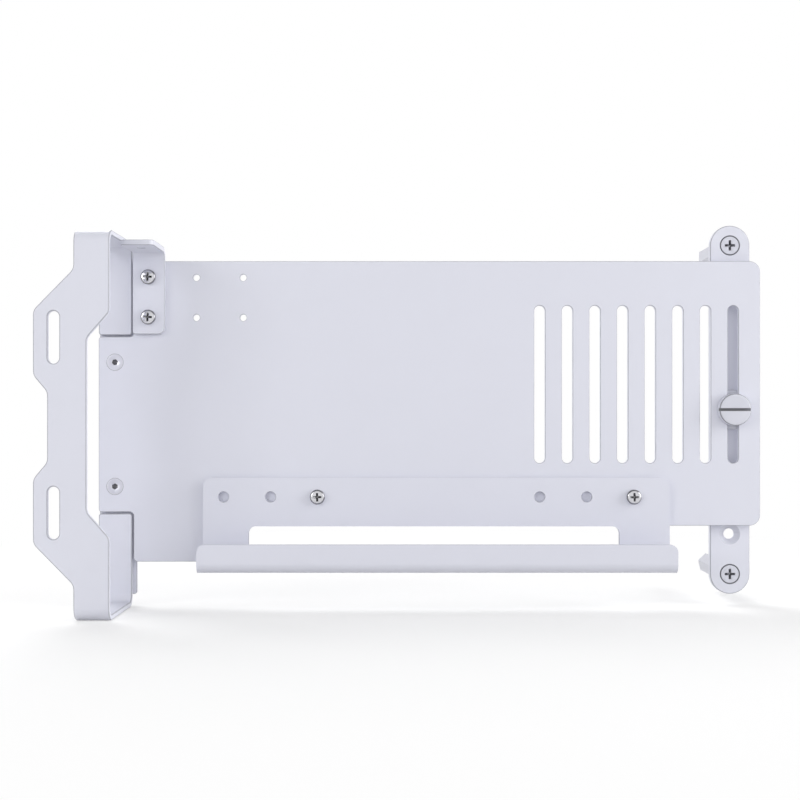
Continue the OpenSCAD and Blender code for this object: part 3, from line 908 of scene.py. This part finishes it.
WHITE_COAT = Finish("white_coat", (0.74, 0.748, 0.83), 0.40, grain=0.7, grain_height=0.003,
                    painted_rim_shade=0.5, hollow=0.62)
WHITE_PAINT = Finish("white_screws", (0.665, 0.672, 0.745), 0.32, grain=0.4, grain_height=0.001,
                     hollow=0.66)
NICKEL = Finish("nickel_screws", (0.64, 0.64, 0.67), 0.2, metallic=1.0, grain=0.3,
                grain_height=0.0008, hollow=0.76)
ZINC = Finish("zinc_screws", (0.72, 0.72, 0.77), 0.34, metallic=1.0, grain=0.3,
              grain_height=0.0008, hollow=0.8)


# Pieces

@dataclass(frozen=True)
class Box:
    """The box of a CAD node at rest, in millimetres."""

    low: Vector
    high: Vector

    @classmethod
    def of(cls, node: str) -> Box:
        """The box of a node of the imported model."""
        low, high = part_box(node)
        return cls(low / MM, high / MM)

    @property
    def middle(self) -> Vector:
        """The middle of the box."""
        return (self.low + self.high) / 2

    @property
    def size(self) -> Vector:
        """The box's extents."""
        return self.high - self.low


@dataclass(frozen=True)
class Thread:
    """A screw thread along a shank.

    Attributes:
        diameter: Its outer diameter.
        pitch: Its pitch.
        length: Its length.
        start: The height at which it starts, going down.
    """

    diameter: float
    pitch: float
    length: float
    start: float = 0.0

    @property
    def depth(self) -> float:
        """The depth of a metric thread of this pitch."""
        return 0.6 * self.pitch


@dataclass(frozen=True)
class Bench:
    """Turns finished meshes into pieces of the mount.

    Attributes:
        perforations: The node tree that lays out slots and holes.
        fasteners: The node tree that sets screws and posts.
    """

    perforations: bpy.types.NodeTree
    fasteners: bpy.types.NodeTree

    def piece(self, mesh: bpy.types.Mesh, finish: Finish, body: str, *nodes: str) -> bpy.types.Object:
        """Puts a mesh in metres into the scene as a piece.

        Args:
            mesh: The piece's mesh. Its name becomes the piece's.
            finish: Its finish.
            body: The body that it rides on.
            *nodes: The CAD nodes that it stands for.

        Returns:
            The piece.
        """
        mesh.materials.clear()
        mesh.materials.append(finish.material())
        item = bpy.data.objects.new(mesh.name, mesh)
        bpy.context.scene.collection.objects.link(item)
        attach(item, body)
        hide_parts(*nodes)
        log.info("%s: %d faces on %s", item.name, len(mesh.polygons), body)
        return item

    def holes(self, rim: Rim, *grids: Perforation) -> list[Loop]:
        """The loops of some grids of holes."""
        return [loop for grid in grids for loop in grid.loops(self.perforations, rim)]

    def fastened(self, name: str, part: bpy.types.Mesh, places: Sequence[Vector], turns: Sequence[float],
                 thread: Thread) -> bpy.types.Mesh:
        """Sets a threaded part at some places.

        Args:
            name: The result's name.
            part: The part without its thread, along +Z, in millimetres. It is used up.
            places: Where its zero height comes.
            turns: Its turn about its axis at each place, in radians.
            thread: The thread that it gets.

        Returns:
            All of them as one mesh, in metres, pointing to the front.
        """
        points = bpy.data.meshes.new(name)
        points.from_pydata(places, [], [])
        points.attributes.new("turn", "FLOAT", "POINT").data.foreach_set("value", turns)
        model = bpy.data.objects.new("part", part)
        bpy.context.scene.collection.objects.link(model)
        mesh = grown(name, self.fasteners, {
            "Part": model, "Sides": 40, "Turn steps": 8, "Thread radius": thread.diameter / 2,
            "Thread depth": thread.depth, "Pitch": thread.pitch, "Thread start": thread.start,
            "Thread length": thread.length,
        }, points)
        bpy.data.objects.remove(model)
        bpy.data.meshes.remove(part)
        mesh.transform(Matrix.Scale(MM, 4))
        mesh.shade_smooth()
        mesh.set_sharp_from_angle(angle=SHARP_ANGLE)
        return mesh


def below(corners: Sequence[Corner]) -> list[Corner]:
    """The mirror image of a half outline below the middle, in the order that goes on round the whole."""
    return [Corner(c.x, -c.y, c.radius) for c in reversed(corners)]


@dataclass(frozen=True)
class CaseFrame:
    """The bent frame that screws to the case: one sheet with two ears, two arms and two rear flanges."""

    bend_radius: float = 2.8
    flange_end: float = 33.45
    ear_slope_top: float = 54.9
    ear_slope_end: float = 40.6
    ear_bottom: float = 18.0
    ear_drop: float = 0.7
    waist_reach: float = 2.2
    waist_half: float = 12.2
    waist_inner: float = 11.5
    inner_half: float = 30.2
    inner_slope_top: float = 39.2
    blunt: float = 4.0
    slot_width: float = 4.0
    slot_length: float = 18.2
    slot_span: float = 60.96
    flange_corner: float = 1.0
    rim: float = 0.5

    def build(self, bench: Bench) -> None:
        """Makes the frame with its two case slots."""
        box, strip = Box.of("case_frame"), Box.of("joining_strip")
        thickness = -box.low.y
        fold = bend(self.bend_radius, thickness, math.pi / 2)
        flat_half = box.high.z - self.bend_radius - thickness
        arm = Stretch(box.high.y - thickness - 2 * self.bend_radius)
        flange = Stretch(flat_half - self.flange_end)
        path = FoldPath((-thickness / 2, 0.0), 0.0, (Stretch(flat_half), fold, arm, fold, flange),
                        mirrored=True)
        end = sum(stretch.length for stretch in path.stretches)
        near, far = strip.low.x, box.high.x

        def half(drop: float) -> list[Corner]:
            """The upper half of the flat outline, with the ear set lower by a drop."""
            return [
                Corner(self.waist_inner, self.inner_half, self.blunt),
                Corner(far, self.inner_slope_top, self.blunt),
                Corner(far, end, self.flange_corner),
                Corner(near, end, self.flange_corner),
                Corner(near, self.ear_slope_top - drop, self.blunt),
                Corner(box.low.x, self.ear_slope_end - drop, self.blunt),
                Corner(box.low.x, self.ear_bottom - drop, self.blunt),
                Corner(-self.waist_reach, self.waist_half - drop, self.blunt),
            ]

        outline = half(self.ear_drop) + below(half(-self.ear_drop))
        rim = Rim(thickness, self.rim)
        slots = Perforation((0.0, 0.0), self.slot_width, self.slot_length,
                            rows=2, row_pitch=self.slot_span)
        sheet = Sheet([Loop(rounded(outline, closed=True), rim), *bench.holes(rim, slots)], path)
        bench.piece(sheet.mesh("case_frame_sheet"), WHITE_COAT, "plate_assembly", "case_frame")


@dataclass(frozen=True)
class BasePlate:
    """The large flat plate with its vents, and the strip behind its tab."""

    tab_half: float = 32.85
    bottom: float = 38.0
    deep_length: float = 35.0
    notch_gap: float = 0.6
    vent_count: int = 7
    slot_pitch: float = 10.36
    slot_width: float = 4.0
    slot_length: float = 59.1
    slot_height: float = 15.0
    grid_pitch: float = 17.55
    tapped: float = 2.5
    screw_hole: float = 3.1
    sunk_hole: float = 3.4
    sunk_rim: float = 0.12
    head_room: float = 0.16
    upper_corner: float = 0.5
    notch_corner: float = 1.6
    tab_corner: float = 1.0
    deep_corner: float = 1.5
    free_corner: float = 4.0

    def build(self, bench: Bench) -> None:
        """Makes the plate, then the strip."""
        box, arm = Box.of("base_plate"), Box.of("case_frame")
        left = arm.high.x + self.notch_gap
        step = left + self.deep_length
        outline = [
            Corner(left, box.high.z, self.upper_corner),
            Corner(left, self.tab_half, self.notch_corner),
            Corner(box.low.x, self.tab_half, self.tab_corner),
            Corner(box.low.x, -self.tab_half, self.tab_corner),
            Corner(left, -self.tab_half, self.notch_corner),
            Corner(left, box.low.z, self.deep_corner),
            Corner(step, box.low.z, self.deep_corner),
            Corner(step, -self.bottom, self.deep_corner),
            Corner(box.high.x, -self.bottom, self.free_corner),
            Corner(box.high.x, box.high.z, self.free_corner),
        ]
        rim = Rim(box.size.y)
        thumb = Box.of("thumb_screw").middle
        vents = Perforation(
            (thumb.x - self.vent_count * self.slot_pitch / 2, self.slot_height), self.slot_width,
            self.slot_length, columns=self.vent_count + 1, column_pitch=self.slot_pitch)
        upper, lower = Box.of("bracket_screw_upper").middle, Box.of("bracket_screw_lower").middle
        level, drop = (upper.z + lower.z) / 2, upper.z - lower.z
        fine = Rim(box.size.y, HOLE_RIM)
        spare = Perforation((upper.x + 1.5 * self.grid_pitch, level), self.tapped, self.tapped,
                            2, 2, self.grid_pitch, drop)
        held = Perforation((upper.x, level), self.screw_hole, self.screw_hole, 1, 2, 0.0, drop)
        near, far = Box.of("shelf_screw_near").middle, Box.of("shelf_screw_far").middle
        shelf = Perforation(((near.x + far.x) / 2, near.z), self.screw_hole, self.screw_hole,
                            2, 1, far.x - near.x)
        loops = [Loop(rounded(outline, closed=True), rim), *bench.holes(rim, vents),
                 *bench.holes(fine, spare, held, shelf), *self._sunk(bench, box.size.y)]
        sheet = Sheet(loops, FoldPath((box.middle.y, 0.0)))
        bench.piece(sheet.mesh("base_plate_sheet"), WHITE_COAT, "plate_assembly", "base_plate")
        self._strip(bench)

    def _sunk(self, bench: Bench, thickness: float) -> list[Loop]:
        """The countersunk holes of the tab's two screws."""
        upper, lower = Box.of("tab_screw_upper"), Box.of("tab_screw_lower")
        head, hole = upper.size.x + self.head_room, self.sunk_hole
        rim = Rim(thickness, self.sunk_rim, (head - hole) / 2, screwed=True)
        centre = (upper.middle.x, (upper.middle.z + lower.middle.z) / 2)
        pair = Perforation(centre, hole, hole, 1, 2, 0.0, upper.middle.z - lower.middle.z)
        return bench.holes(rim, pair)

    def _strip(self, bench: Bench) -> None:
        """Makes the strip behind the tab and the frame's rear flanges."""
        box, screw = Box.of("joining_strip"), Box.of("tab_screw_upper")
        half = box.high.z
        upper_half = [Corner(x, half, self.tab_corner) for x in (box.high.x, box.low.x)]
        outline = upper_half + below(upper_half)
        holes = Perforation((screw.middle.x, 0.0), self.screw_hole, self.screw_hole,
                            1, 2, 0.0, 2 * screw.middle.z)
        loops = [Loop(rounded(outline, closed=True), Rim(box.size.y)),
                 *bench.holes(Rim(box.size.y, HOLE_RIM), holes)]
        sheet = Sheet(loops, FoldPath((box.middle.y, 0.0)))
        bench.piece(sheet.mesh("joining_strip_sheet"), WHITE_COAT, "plate_assembly", "joining_strip")


@dataclass(frozen=True)
class CardBracket:
    """The angle piece on the plate's upper corner, whose flange takes the card's own bracket."""

    thickness: float = 2.0
    bend_radius: float = 2.0
    screw_hole: float = 3.4
    card_hole: float = 2.85
    card_inset: float = 8.5
    corner: float = 1.8
    near_corner: float = 1.0
    foot_corner: float = 2.6

    def build(self, bench: Bench) -> None:
        """Makes the bracket."""
        box = Box.of("card_bracket")
        turn = bend(self.bend_radius, self.thickness, -math.pi / 2)
        outer = self.bend_radius + self.thickness
        face, flange = Stretch(box.size.z - outer), Stretch(box.size.y - outer)
        path = FoldPath((box.high.y - self.thickness / 2, box.low.z), 0.0, (face, turn, flange))
        end = face.length + turn.length + flange.length
        outline = [
            Corner(box.low.x, 0.0, self.near_corner),
            Corner(box.high.x, 0.0, self.foot_corner),
            Corner(box.high.x, end, self.corner),
            Corner(box.low.x, end, self.corner),
        ]
        upper, lower = Box.of("bracket_screw_upper").middle, Box.of("bracket_screw_lower").middle
        level = (upper.z + lower.z) / 2 - box.low.z
        screws = Perforation((upper.x, level), self.screw_hole, self.screw_hole,
                             1, 2, 0.0, upper.z - lower.z)
        card = Perforation((box.middle.x, end - self.card_inset), self.card_hole, self.card_hole)
        loops = [Loop(rounded(outline, closed=True), Rim(self.thickness)),
                 *bench.holes(Rim(self.thickness, HOLE_RIM), screws, card)]
        sheet = Sheet(loops, path)
        bench.piece(sheet.mesh("card_bracket_sheet"), WHITE_COAT, "plate_assembly", "card_bracket")


@dataclass(frozen=True)
class RiserShelf:
    """The bent shelf for the riser's socket, with a window for its ribbon and a low lip in front."""

    thickness: float = 2.0
    bend_radius: float = 1.8
    lip_height: float = 10.2
    near_leg: float = 16.4
    far_leg: float = 18.2
    window_top: float = 37.8
    hole: float = 3.9
    hole_pitch: float = 17.55
    riser_pitch: float = 104.0
    riser_slot: tuple[float, float] = (9.0, 3.4)
    back_corner: float = 3.3
    lip_corner: float = 2.5
    window_corner: float = 3.0
    window_foot: float = 0.4

    def build(self, bench: Bench) -> None:
        """Makes the shelf."""
        box = Box.of("riser_shelf")
        outer = self.bend_radius + self.thickness
        turn = bend(self.bend_radius, self.thickness, math.pi / 2)
        back, floor = Stretch(box.size.z - outer), Stretch(box.size.y - 2 * outer)
        lip = Stretch(self.lip_height - outer)
        path = FoldPath((box.high.y - self.thickness / 2, box.high.z), math.pi,
                        (back, turn, floor, turn, lip))
        end = sum(stretch.length for stretch in path.stretches)
        left, right = box.low.x, box.high.x
        outline = [
            Corner(right, 0.0, self.back_corner),
            Corner(right, end, self.lip_corner),
            Corner(left, end, self.lip_corner),
            Corner(left, 0.0, self.back_corner),
        ]
        head, foot = box.high.z + self.window_top, back.length + turn.length
        window = [
            Corner(left + self.near_leg, foot, self.window_foot),
            Corner(left + self.near_leg, head, self.window_corner),
            Corner(right - self.far_leg, head, self.window_corner),
            Corner(right - self.far_leg, foot, self.window_foot),
        ]
        rim = Rim(self.thickness)
        near, far = Box.of("shelf_screw_near").middle, Box.of("shelf_screw_far").middle
        level = box.high.z - near.z
        holes = [Perforation((screw.x - self.hole_pitch, level), self.hole, self.hole,
                             3, 1, self.hole_pitch) for screw in (near, far)]
        floor_middle = back.length + turn.length + floor.length / 2
        riser = Perforation((box.middle.x, floor_middle), *self.riser_slot, 2, 1, self.riser_pitch)
        loops = [Loop(rounded(outline[::-1], closed=True), rim),
                 Loop(rounded(window, closed=True), rim),
                 *bench.holes(Rim(self.thickness, HOLE_RIM), *holes, riser)]
        sheet = Sheet(loops, path)
        bench.piece(sheet.mesh("riser_shelf_sheet"), WHITE_COAT, "plate_assembly", "riser_shelf")


@dataclass(frozen=True)
class SupportBar:
    """The bar behind the plate, with the two posts that carry it and their screws."""

    bore: float = 3.6
    screw_hole: float = 4.4
    screw_sink: float = 1.64
    spare_hole: float = 4.0
    spare_sink: float = 1.84
    spare_span: float = 94.2
    post_flats: float = 7.0
    post_bevel: float = 0.4
    post_bore: float = 4.1
    bore_depth: float = 12.0
    bore_chamfer: float = 0.3
    drill_point: float = 0.6
    stud_length: float = 6.0
    post_turns: tuple[float, float] = (math.radians(30), math.radians(42))
    rim: float = 0.4
    sunk_rim: float = 0.15

    def build(self, bench: Bench) -> None:
        """Makes the bar, its posts and its screws."""
        box = Box.of("support_bar")
        half = box.size.x / 2
        outline = [
            Corner(box.low.x, box.high.z, half), Corner(box.low.x, box.low.z, half),
            Corner(box.high.x, box.low.z, half), Corner(box.high.x, box.high.z, half),
        ]
        thickness = box.size.y
        upper, lower = Box.of("bar_screw_upper"), Box.of("bar_screw_lower")
        centre = (box.middle.x, (upper.middle.z + lower.middle.z) / 2)
        span = upper.middle.z - lower.middle.z
        loops = [
            Loop(rounded(outline, closed=True), Rim(thickness, self.rim)),
            *bench.holes(Rim(thickness, HOLE_RIM), Perforation(centre, self.bore, self.bore)),
            *bench.holes(Rim(thickness, self.sunk_rim, self.screw_sink, screwed=True),
                         Perforation(centre, self.screw_hole, self.screw_hole, 1, 2, 0.0, span)),
            *bench.holes(Rim(thickness, self.sunk_rim, self.spare_sink),
                         Perforation(centre, self.spare_hole, self.spare_hole, 1, 2, 0.0, self.spare_span)),
        ]
        sheet = Sheet(loops, FoldPath((box.middle.y, 0.0)))
        bench.piece(sheet.mesh("support_bar_plate"), WHITE_COAT, "bar_assembly", "support_bar")
        head = Head(Recess.CROSS, diameter=6.75, height=2.0, recess_width=3.9, recess_depth=2.0,
                    rim=0.45, shank=2.0)
        thread = Thread(*M4, upper.size.y - head.height, -head.height)
        places = [Vector((b.middle.x, b.low.y, b.middle.z)) for b in (upper, lower)]
        mesh = bench.fastened("bar_screws", head.countersunk(), places, (0.0, 0.0), thread)
        bench.piece(mesh, WHITE_PAINT, "bar_assembly", "bar_screw_upper", "bar_screw_lower")
        for node, turn in zip(("support_post_upper", "support_post_lower"), self.post_turns):
            self._post(bench, node, turn)

    def _post(self, bench: Bench, node: str, turn: float) -> None:
        """Makes a hexagonal post with a bore in front and a threaded stud behind."""
        box = Box.of(node)
        length = box.size.y - self.stud_length
        corner = self.post_flats / 2 / math.cos(math.radians(30))
        ring = [Vector((corner * math.cos(math.radians(60 * k)), corner * math.sin(math.radians(60 * k))))
                for k in range(6)]
        bar = loft("post", [[Vector((p.x, p.y, z)) for p in ring] for z in (-length, 0.0)])
        low = corner - self.post_bevel * 1.7
        out = corner + 0.05
        barrel = [Vector(p) for p in ((0, -length), (low, -length), (out, -length + self.post_bevel),
                                      (out, -self.post_bevel), (low, 0), (0, 0))]
        bar = machined(bar, turned("barrel", barrel), "INTERSECT", 0.0)
        bore = self.post_bore / 2
        mouth = bore + self.bore_chamfer
        point = self.bore_depth + bore * self.drill_point
        drill = [Vector(p) for p in ((0, -point), (bore, -self.bore_depth), (bore, -self.bore_chamfer),
                                     (mouth, 0), (mouth, PROUD), (0, PROUD))]
        bar = machined(bar, turned("drill", drill), "DIFFERENCE", 0.06)
        place = Vector((box.middle.x, box.low.y, box.middle.z))
        mesh = bench.fastened(node + "_turned", bar, [place], [turn],
                              Thread(*M3, self.stud_length, -length))
        bench.piece(mesh, WHITE_PAINT, "bar_assembly", node)


@dataclass(frozen=True)
class SlotSpacer:
    """The disc that keeps the bar off the plate and slides along with it."""

    bore: float = 3.6

    def build(self, bench: Bench) -> None:
        """Makes the disc."""
        box = Box.of("slot_spacer")
        radius = box.size.x / 2
        left, right, foot, top = box.low.x, box.high.x, box.low.z, box.high.z
        outline = [Corner(x, z, radius) for x, z in (
            (left, top), (left, foot), (right, foot), (right, top))]
        rim = Rim(box.size.y)
        bore = Perforation((box.middle.x, box.middle.z), self.bore, self.bore)
        sheet = Sheet([Loop(rounded(outline, closed=True), rim), *bench.holes(rim, bore)],
                      FoldPath((box.middle.y, 0.0)))
        bench.piece(sheet.mesh("slot_spacer_disc"), WHITE_COAT, "slider", "slot_spacer")


@dataclass(frozen=True)
class ThumbScrew:
    """The large screw that clamps the bar through the plate's last slot."""

    shank: float = 3.5
    pitch: float = 0.794
    head_height: float = 4.2

    def build(self, bench: Bench) -> None:
        """Makes the screw."""
        box = Box.of("thumb_screw")
        head = Head(Recess.COIN_SLOT, box.size.x, self.head_height,
                    recess_width=1.1, recess_depth=1.6, round=0.8)
        place = Vector((box.middle.x, box.low.y + self.head_height, box.middle.z))
        thread = Thread(self.shank, self.pitch, box.size.y - self.head_height)
        mesh = bench.fastened("thumb_screw_turned", head.raised(), [place], [0.0], thread)
        bench.piece(mesh, WHITE_PAINT, "thumb_screw", "thumb_screw")


@dataclass(frozen=True)
class PlateScrews:
    """The small screws that hold the bracket, the shelf and the tab."""

    pan_turns: tuple[float, ...] = (-0.06, -0.06, 0.03, 0.03)
    tab_turns: tuple[float, ...] = (0.2, 0.5)

    def build(self, bench: Bench) -> None:
        """Makes the four pan heads and the two countersunk ones."""
        nodes = ("bracket_screw_upper", "bracket_screw_lower", "shelf_screw_near", "shelf_screw_far")
        boxes = [Box.of(node) for node in nodes]
        head = Head(Recess.CROSS, boxes[0].size.x, height=2.2, recess_width=3.3, recess_depth=1.3,
                    round=0.9, crown=0.45)
        thread = Thread(*M3, boxes[0].size.y - head.height)
        places = [Vector((b.middle.x, b.low.y + head.height, b.middle.z)) for b in boxes]
        mesh = bench.fastened("pan_head_screws", head.raised(), places, self.pan_turns, thread)
        bench.piece(mesh, NICKEL, "plate_assembly", *nodes)
        nodes = ("tab_screw_upper", "tab_screw_lower")
        boxes = [Box.of(node) for node in nodes]
        head = Head(Recess.HEXAGON, boxes[0].size.x, height=1.6, recess_width=2.0, recess_depth=1.0)
        thread = Thread(*M3, boxes[0].size.y - head.height, -head.height)
        places = [Vector((b.middle.x, b.low.y, b.middle.z)) for b in boxes]
        mesh = bench.fastened("tab_screws", head.countersunk(), places, self.tab_turns, thread)
        bench.piece(mesh, ZINC, "plate_assembly", *nodes)


@dataclass(frozen=True)
class Lamp:
    """A square soft light that looks at a point of the mount.

    Attributes:
        name: Its name.
        place: Where it hangs, in millimetres.
        size: Its width and height, in millimetres.
        power: Its power, in watts.
        aim: The point that it looks at, in millimetres.
    """

    name: str
    place: tuple[float, float, float]
    size: tuple[float, float]
    power: float
    aim: tuple[float, float, float] = (124.0, 30.0, 0.0)

    def hang(self) -> None:
        """Puts the lamp into the scene."""
        light = bpy.data.lights.new(self.name, "AREA")
        light.shape, light.energy = "RECTANGLE", self.power
        light.size, light.size_y = (side * MM for side in self.size)
        item = bpy.data.objects.new(self.name, light)
        item.location = Vector(self.place) * MM
        item.rotation_euler = (Vector(self.place) - Vector(self.aim)).to_track_quat("Z", "Y").to_euler()
        bpy.context.scene.collection.objects.link(item)


@dataclass(frozen=True)
class Sky:
    """The light that comes from each direction, where 1 is white.

    The levels along the six axes blend by the square of the direction, which adds up to 1 everywhere.
    """

    left: float = 0.3
    right: float = 0.6
    front: float = 1.1
    back: float = 0.55
    below: float = 0.6
    above: float = 0.2
    mirrored_back: float = 1.0

    def make(self) -> None:
        """Makes the world: white for the camera, and these levels for what lights the mount."""
        world = bpy.data.worlds.new("studio")
        bpy.context.scene.world = world
        world.use_nodes = True
        nodes, links = world.node_tree.nodes, world.node_tree.links
        path = nodes.new("ShaderNodeLightPath")
        parts = nodes.new("ShaderNodeSeparateXYZ")
        links.new(nodes.new("ShaderNodeTexCoord").outputs["Generated"], parts.inputs[0])
        levels = {"X": (self.left, self.right), "Y": (self.front, self.back), "Z": (self.below, self.above)}
        total = None
        for axis, pair in levels.items():
            step = nodes.new("ShaderNodeMapRange")
            for name, number in zip(("From Min", "From Max", "To Min", "To Max"), (-0.001, 0.001, *pair)):
                step.inputs[name].default_value = number
            links.new(parts.outputs[axis], step.inputs["Value"])
            if axis == "Y":
                mirrored = self._maths(nodes, links, "MULTIPLY", path.outputs["Is Glossy Ray"],
                                       self.mirrored_back - self.back)
                back = self._maths(nodes, links, "ADD", mirrored, self.back)
                links.new(back, step.inputs["To Max"])
            square = self._maths(nodes, links, "MULTIPLY", parts.outputs[axis], parts.outputs[axis])
            share = self._maths(nodes, links, "MULTIPLY", square, step.outputs["Result"])
            total = share if total is None else self._maths(nodes, links, "ADD", total, share)
        seen = nodes.new("ShaderNodeMix")
        links.new(path.outputs["Is Camera Ray"], seen.inputs["Factor"])
        links.new(total, seen.inputs["A"])
        seen.inputs["B"].default_value = 1.0
        background = nodes["Background"]
        background.inputs["Color"].default_value = (1.0, 1.0, 1.0, 1.0)
        links.new(seen.outputs["Result"], background.inputs["Strength"])

    @staticmethod
    def _maths(nodes: bpy.types.Nodes, links: bpy.types.NodeLinks, operation: str,
               *values: float | bpy.types.NodeSocket) -> bpy.types.NodeSocket:
        """Adds a maths node on numbers or sockets, and returns its result."""
        node = nodes.new("ShaderNodeMath")
        node.operation = operation
        for socket, value in zip(node.inputs, values):
            if isinstance(value, bpy.types.NodeSocket):
                links.new(value, socket)
            else:
                socket.default_value = value
        return node.outputs[0]


@dataclass(frozen=True)
class Floor:
    """A white floor that keeps the mount's shadow and fades into the white studio.

    Attributes:
        side: Its width and length, in millimetres.
        colour: The share of light that it sends back to the mount.
        shown: The same share for what is seen of it, which sets how deep its shadows look.
        glow: What is added to that, so that it is white where no shadow falls.
        fade: The distances from the mount's middle between which it turns plain white.
    """

    side: float = 8000.0
    colour: float = 0.7
    shown: float = 0.58
    glow: float = 0.41
    fade: tuple[float, float] = (170.0, 330.0)

    def lay(self) -> None:
        """Makes the floor under the mount."""
        (low_x, low_y, low_z), (high_x, high_y, _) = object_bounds()
        middle = Vector(((low_x + high_x) / 2, (low_y + high_y) / 2, low_z))
        half = self.side * MM / 2
        mesh = bpy.data.meshes.new("floor")
        corners = ((-1, -1), (1, -1), (1, 1), (-1, 1))
        mesh.from_pydata([middle + half * Vector((x, y, 0)) for x, y in corners], [], [(0, 1, 2, 3)])
        mesh.materials.append(self._material(middle))
        floor = bpy.data.objects.new("floor", mesh)
        bpy.context.scene.collection.objects.link(floor)
        floor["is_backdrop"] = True

    def _material(self, middle: Vector) -> bpy.types.Material:
        """Makes the floor's material."""
        material = bpy.data.materials.new("floor")
        material.use_nodes = True
        nodes, links = material.node_tree.nodes, material.node_tree.links
        nodes.remove(nodes["Principled BSDF"])
        path = nodes.new("ShaderNodeLightPath")
        seen = nodes.new("ShaderNodeMath")
        seen.operation = "MAXIMUM"
        links.new(path.outputs["Is Camera Ray"], seen.inputs[0])
        links.new(path.outputs["Is Glossy Ray"], seen.inputs[1])
        shade = nodes.new("ShaderNodeMix")
        shade.inputs["A"].default_value, shade.inputs["B"].default_value = self.colour, self.shown
        links.new(seen.outputs[0], shade.inputs["Factor"])
        matt = nodes.new("ShaderNodeBsdfDiffuse")
        links.new(shade.outputs["Result"], matt.inputs["Color"])
        glow = nodes.new("ShaderNodeEmission")
        light = nodes.new("ShaderNodeMath")
        light.operation = "MULTIPLY"
        light.inputs[1].default_value = self.glow
        links.new(seen.outputs[0], light.inputs[0])
        links.new(light.outputs[0], glow.inputs["Strength"])
        both = nodes.new("ShaderNodeAddShader")
        links.new(matt.outputs[0], both.inputs[0])
        links.new(glow.outputs[0], both.inputs[1])
        away = nodes.new("ShaderNodeVectorMath")
        away.operation = "DISTANCE"
        away.inputs[1].default_value = middle
        links.new(nodes.new("ShaderNodeTexCoord").outputs["Object"], away.inputs[0])
        fade = nodes.new("ShaderNodeMapRange")
        fade.interpolation_type = "SMOOTHSTEP"
        fade.inputs["From Min"].default_value, fade.inputs["From Max"].default_value = (
            distance * MM for distance in self.fade)
        links.new(away.outputs["Value"], fade.inputs["Value"])
        far = nodes.new("ShaderNodeMath")
        far.operation = "MULTIPLY"
        links.new(fade.outputs["Result"], far.inputs[0])
        links.new(seen.outputs[0], far.inputs[1])
        white = nodes.new("ShaderNodeEmission")
        mix = nodes.new("ShaderNodeMixShader")
        links.new(far.outputs[0], mix.inputs[0])
        links.new(both.outputs[0], mix.inputs[1])
        links.new(white.outputs[0], mix.inputs[2])
        links.new(mix.outputs[0], nodes["Material Output"].inputs["Surface"])
        return material


@dataclass(frozen=True)
class Studio:
    """The white studio: camera, sky, floor and lamps."""

    camera_place: tuple[float, float, float] = (123.65, -464.0, 3.5)
    lens: float = 60.0
    shift: tuple[float, float] = (-0.0125, 0.01875)
    lamps: tuple[Lamp, ...] = (
        Lamp("overhead", (-260.0, 560.0, 760.0), (600.0, 600.0), 6.0),
        Lamp("right side", (1000.0, -150.0, 200.0), (600.0, 700.0), 6.5),
        Lamp("left front", (-700.0, -700.0, 300.0), (500.0, 500.0), 3.0),
    )

    def set_up(self) -> None:
        """Makes all of it."""
        lens = bpy.data.cameras.new("camera")
        lens.lens, lens.sensor_width = self.lens, 36.0
        lens.shift_x, lens.shift_y = self.shift
        lens.clip_start, lens.clip_end = 0.01, 50.0
        camera = bpy.data.objects.new("camera", lens)
        camera.location = Vector(self.camera_place) * MM
        camera.rotation_euler = (math.pi / 2, 0.0, 0.0)
        bpy.context.scene.collection.objects.link(camera)
        bpy.context.scene.camera = camera
        bpy.context.scene.view_settings.view_transform = "Standard"
        Sky().make()
        Floor().lay()
        for lamp in self.lamps:
            lamp.hang()


def main() -> None:
    """Builds the mount's pieces in order, then the studio round them."""
    for item in list(bpy.data.objects):
        bpy.data.objects.remove(item)
    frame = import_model()
    log.info("frame loaded: %d nodes", len(frame["nodes"]))
    bench = Bench(perforation_tree(), fastener_tree())
    for part in (CaseFrame(), BasePlate(), CardBracket(), RiserShelf(), PlateScrews(),
                 SlotSpacer(), SupportBar(), ThumbScrew()):
        part.build(bench)
    Studio().set_up()


if __name__ == "__main__":
    logging.basicConfig(level=logging.INFO, format="%(name)s: %(message)s")
    main()
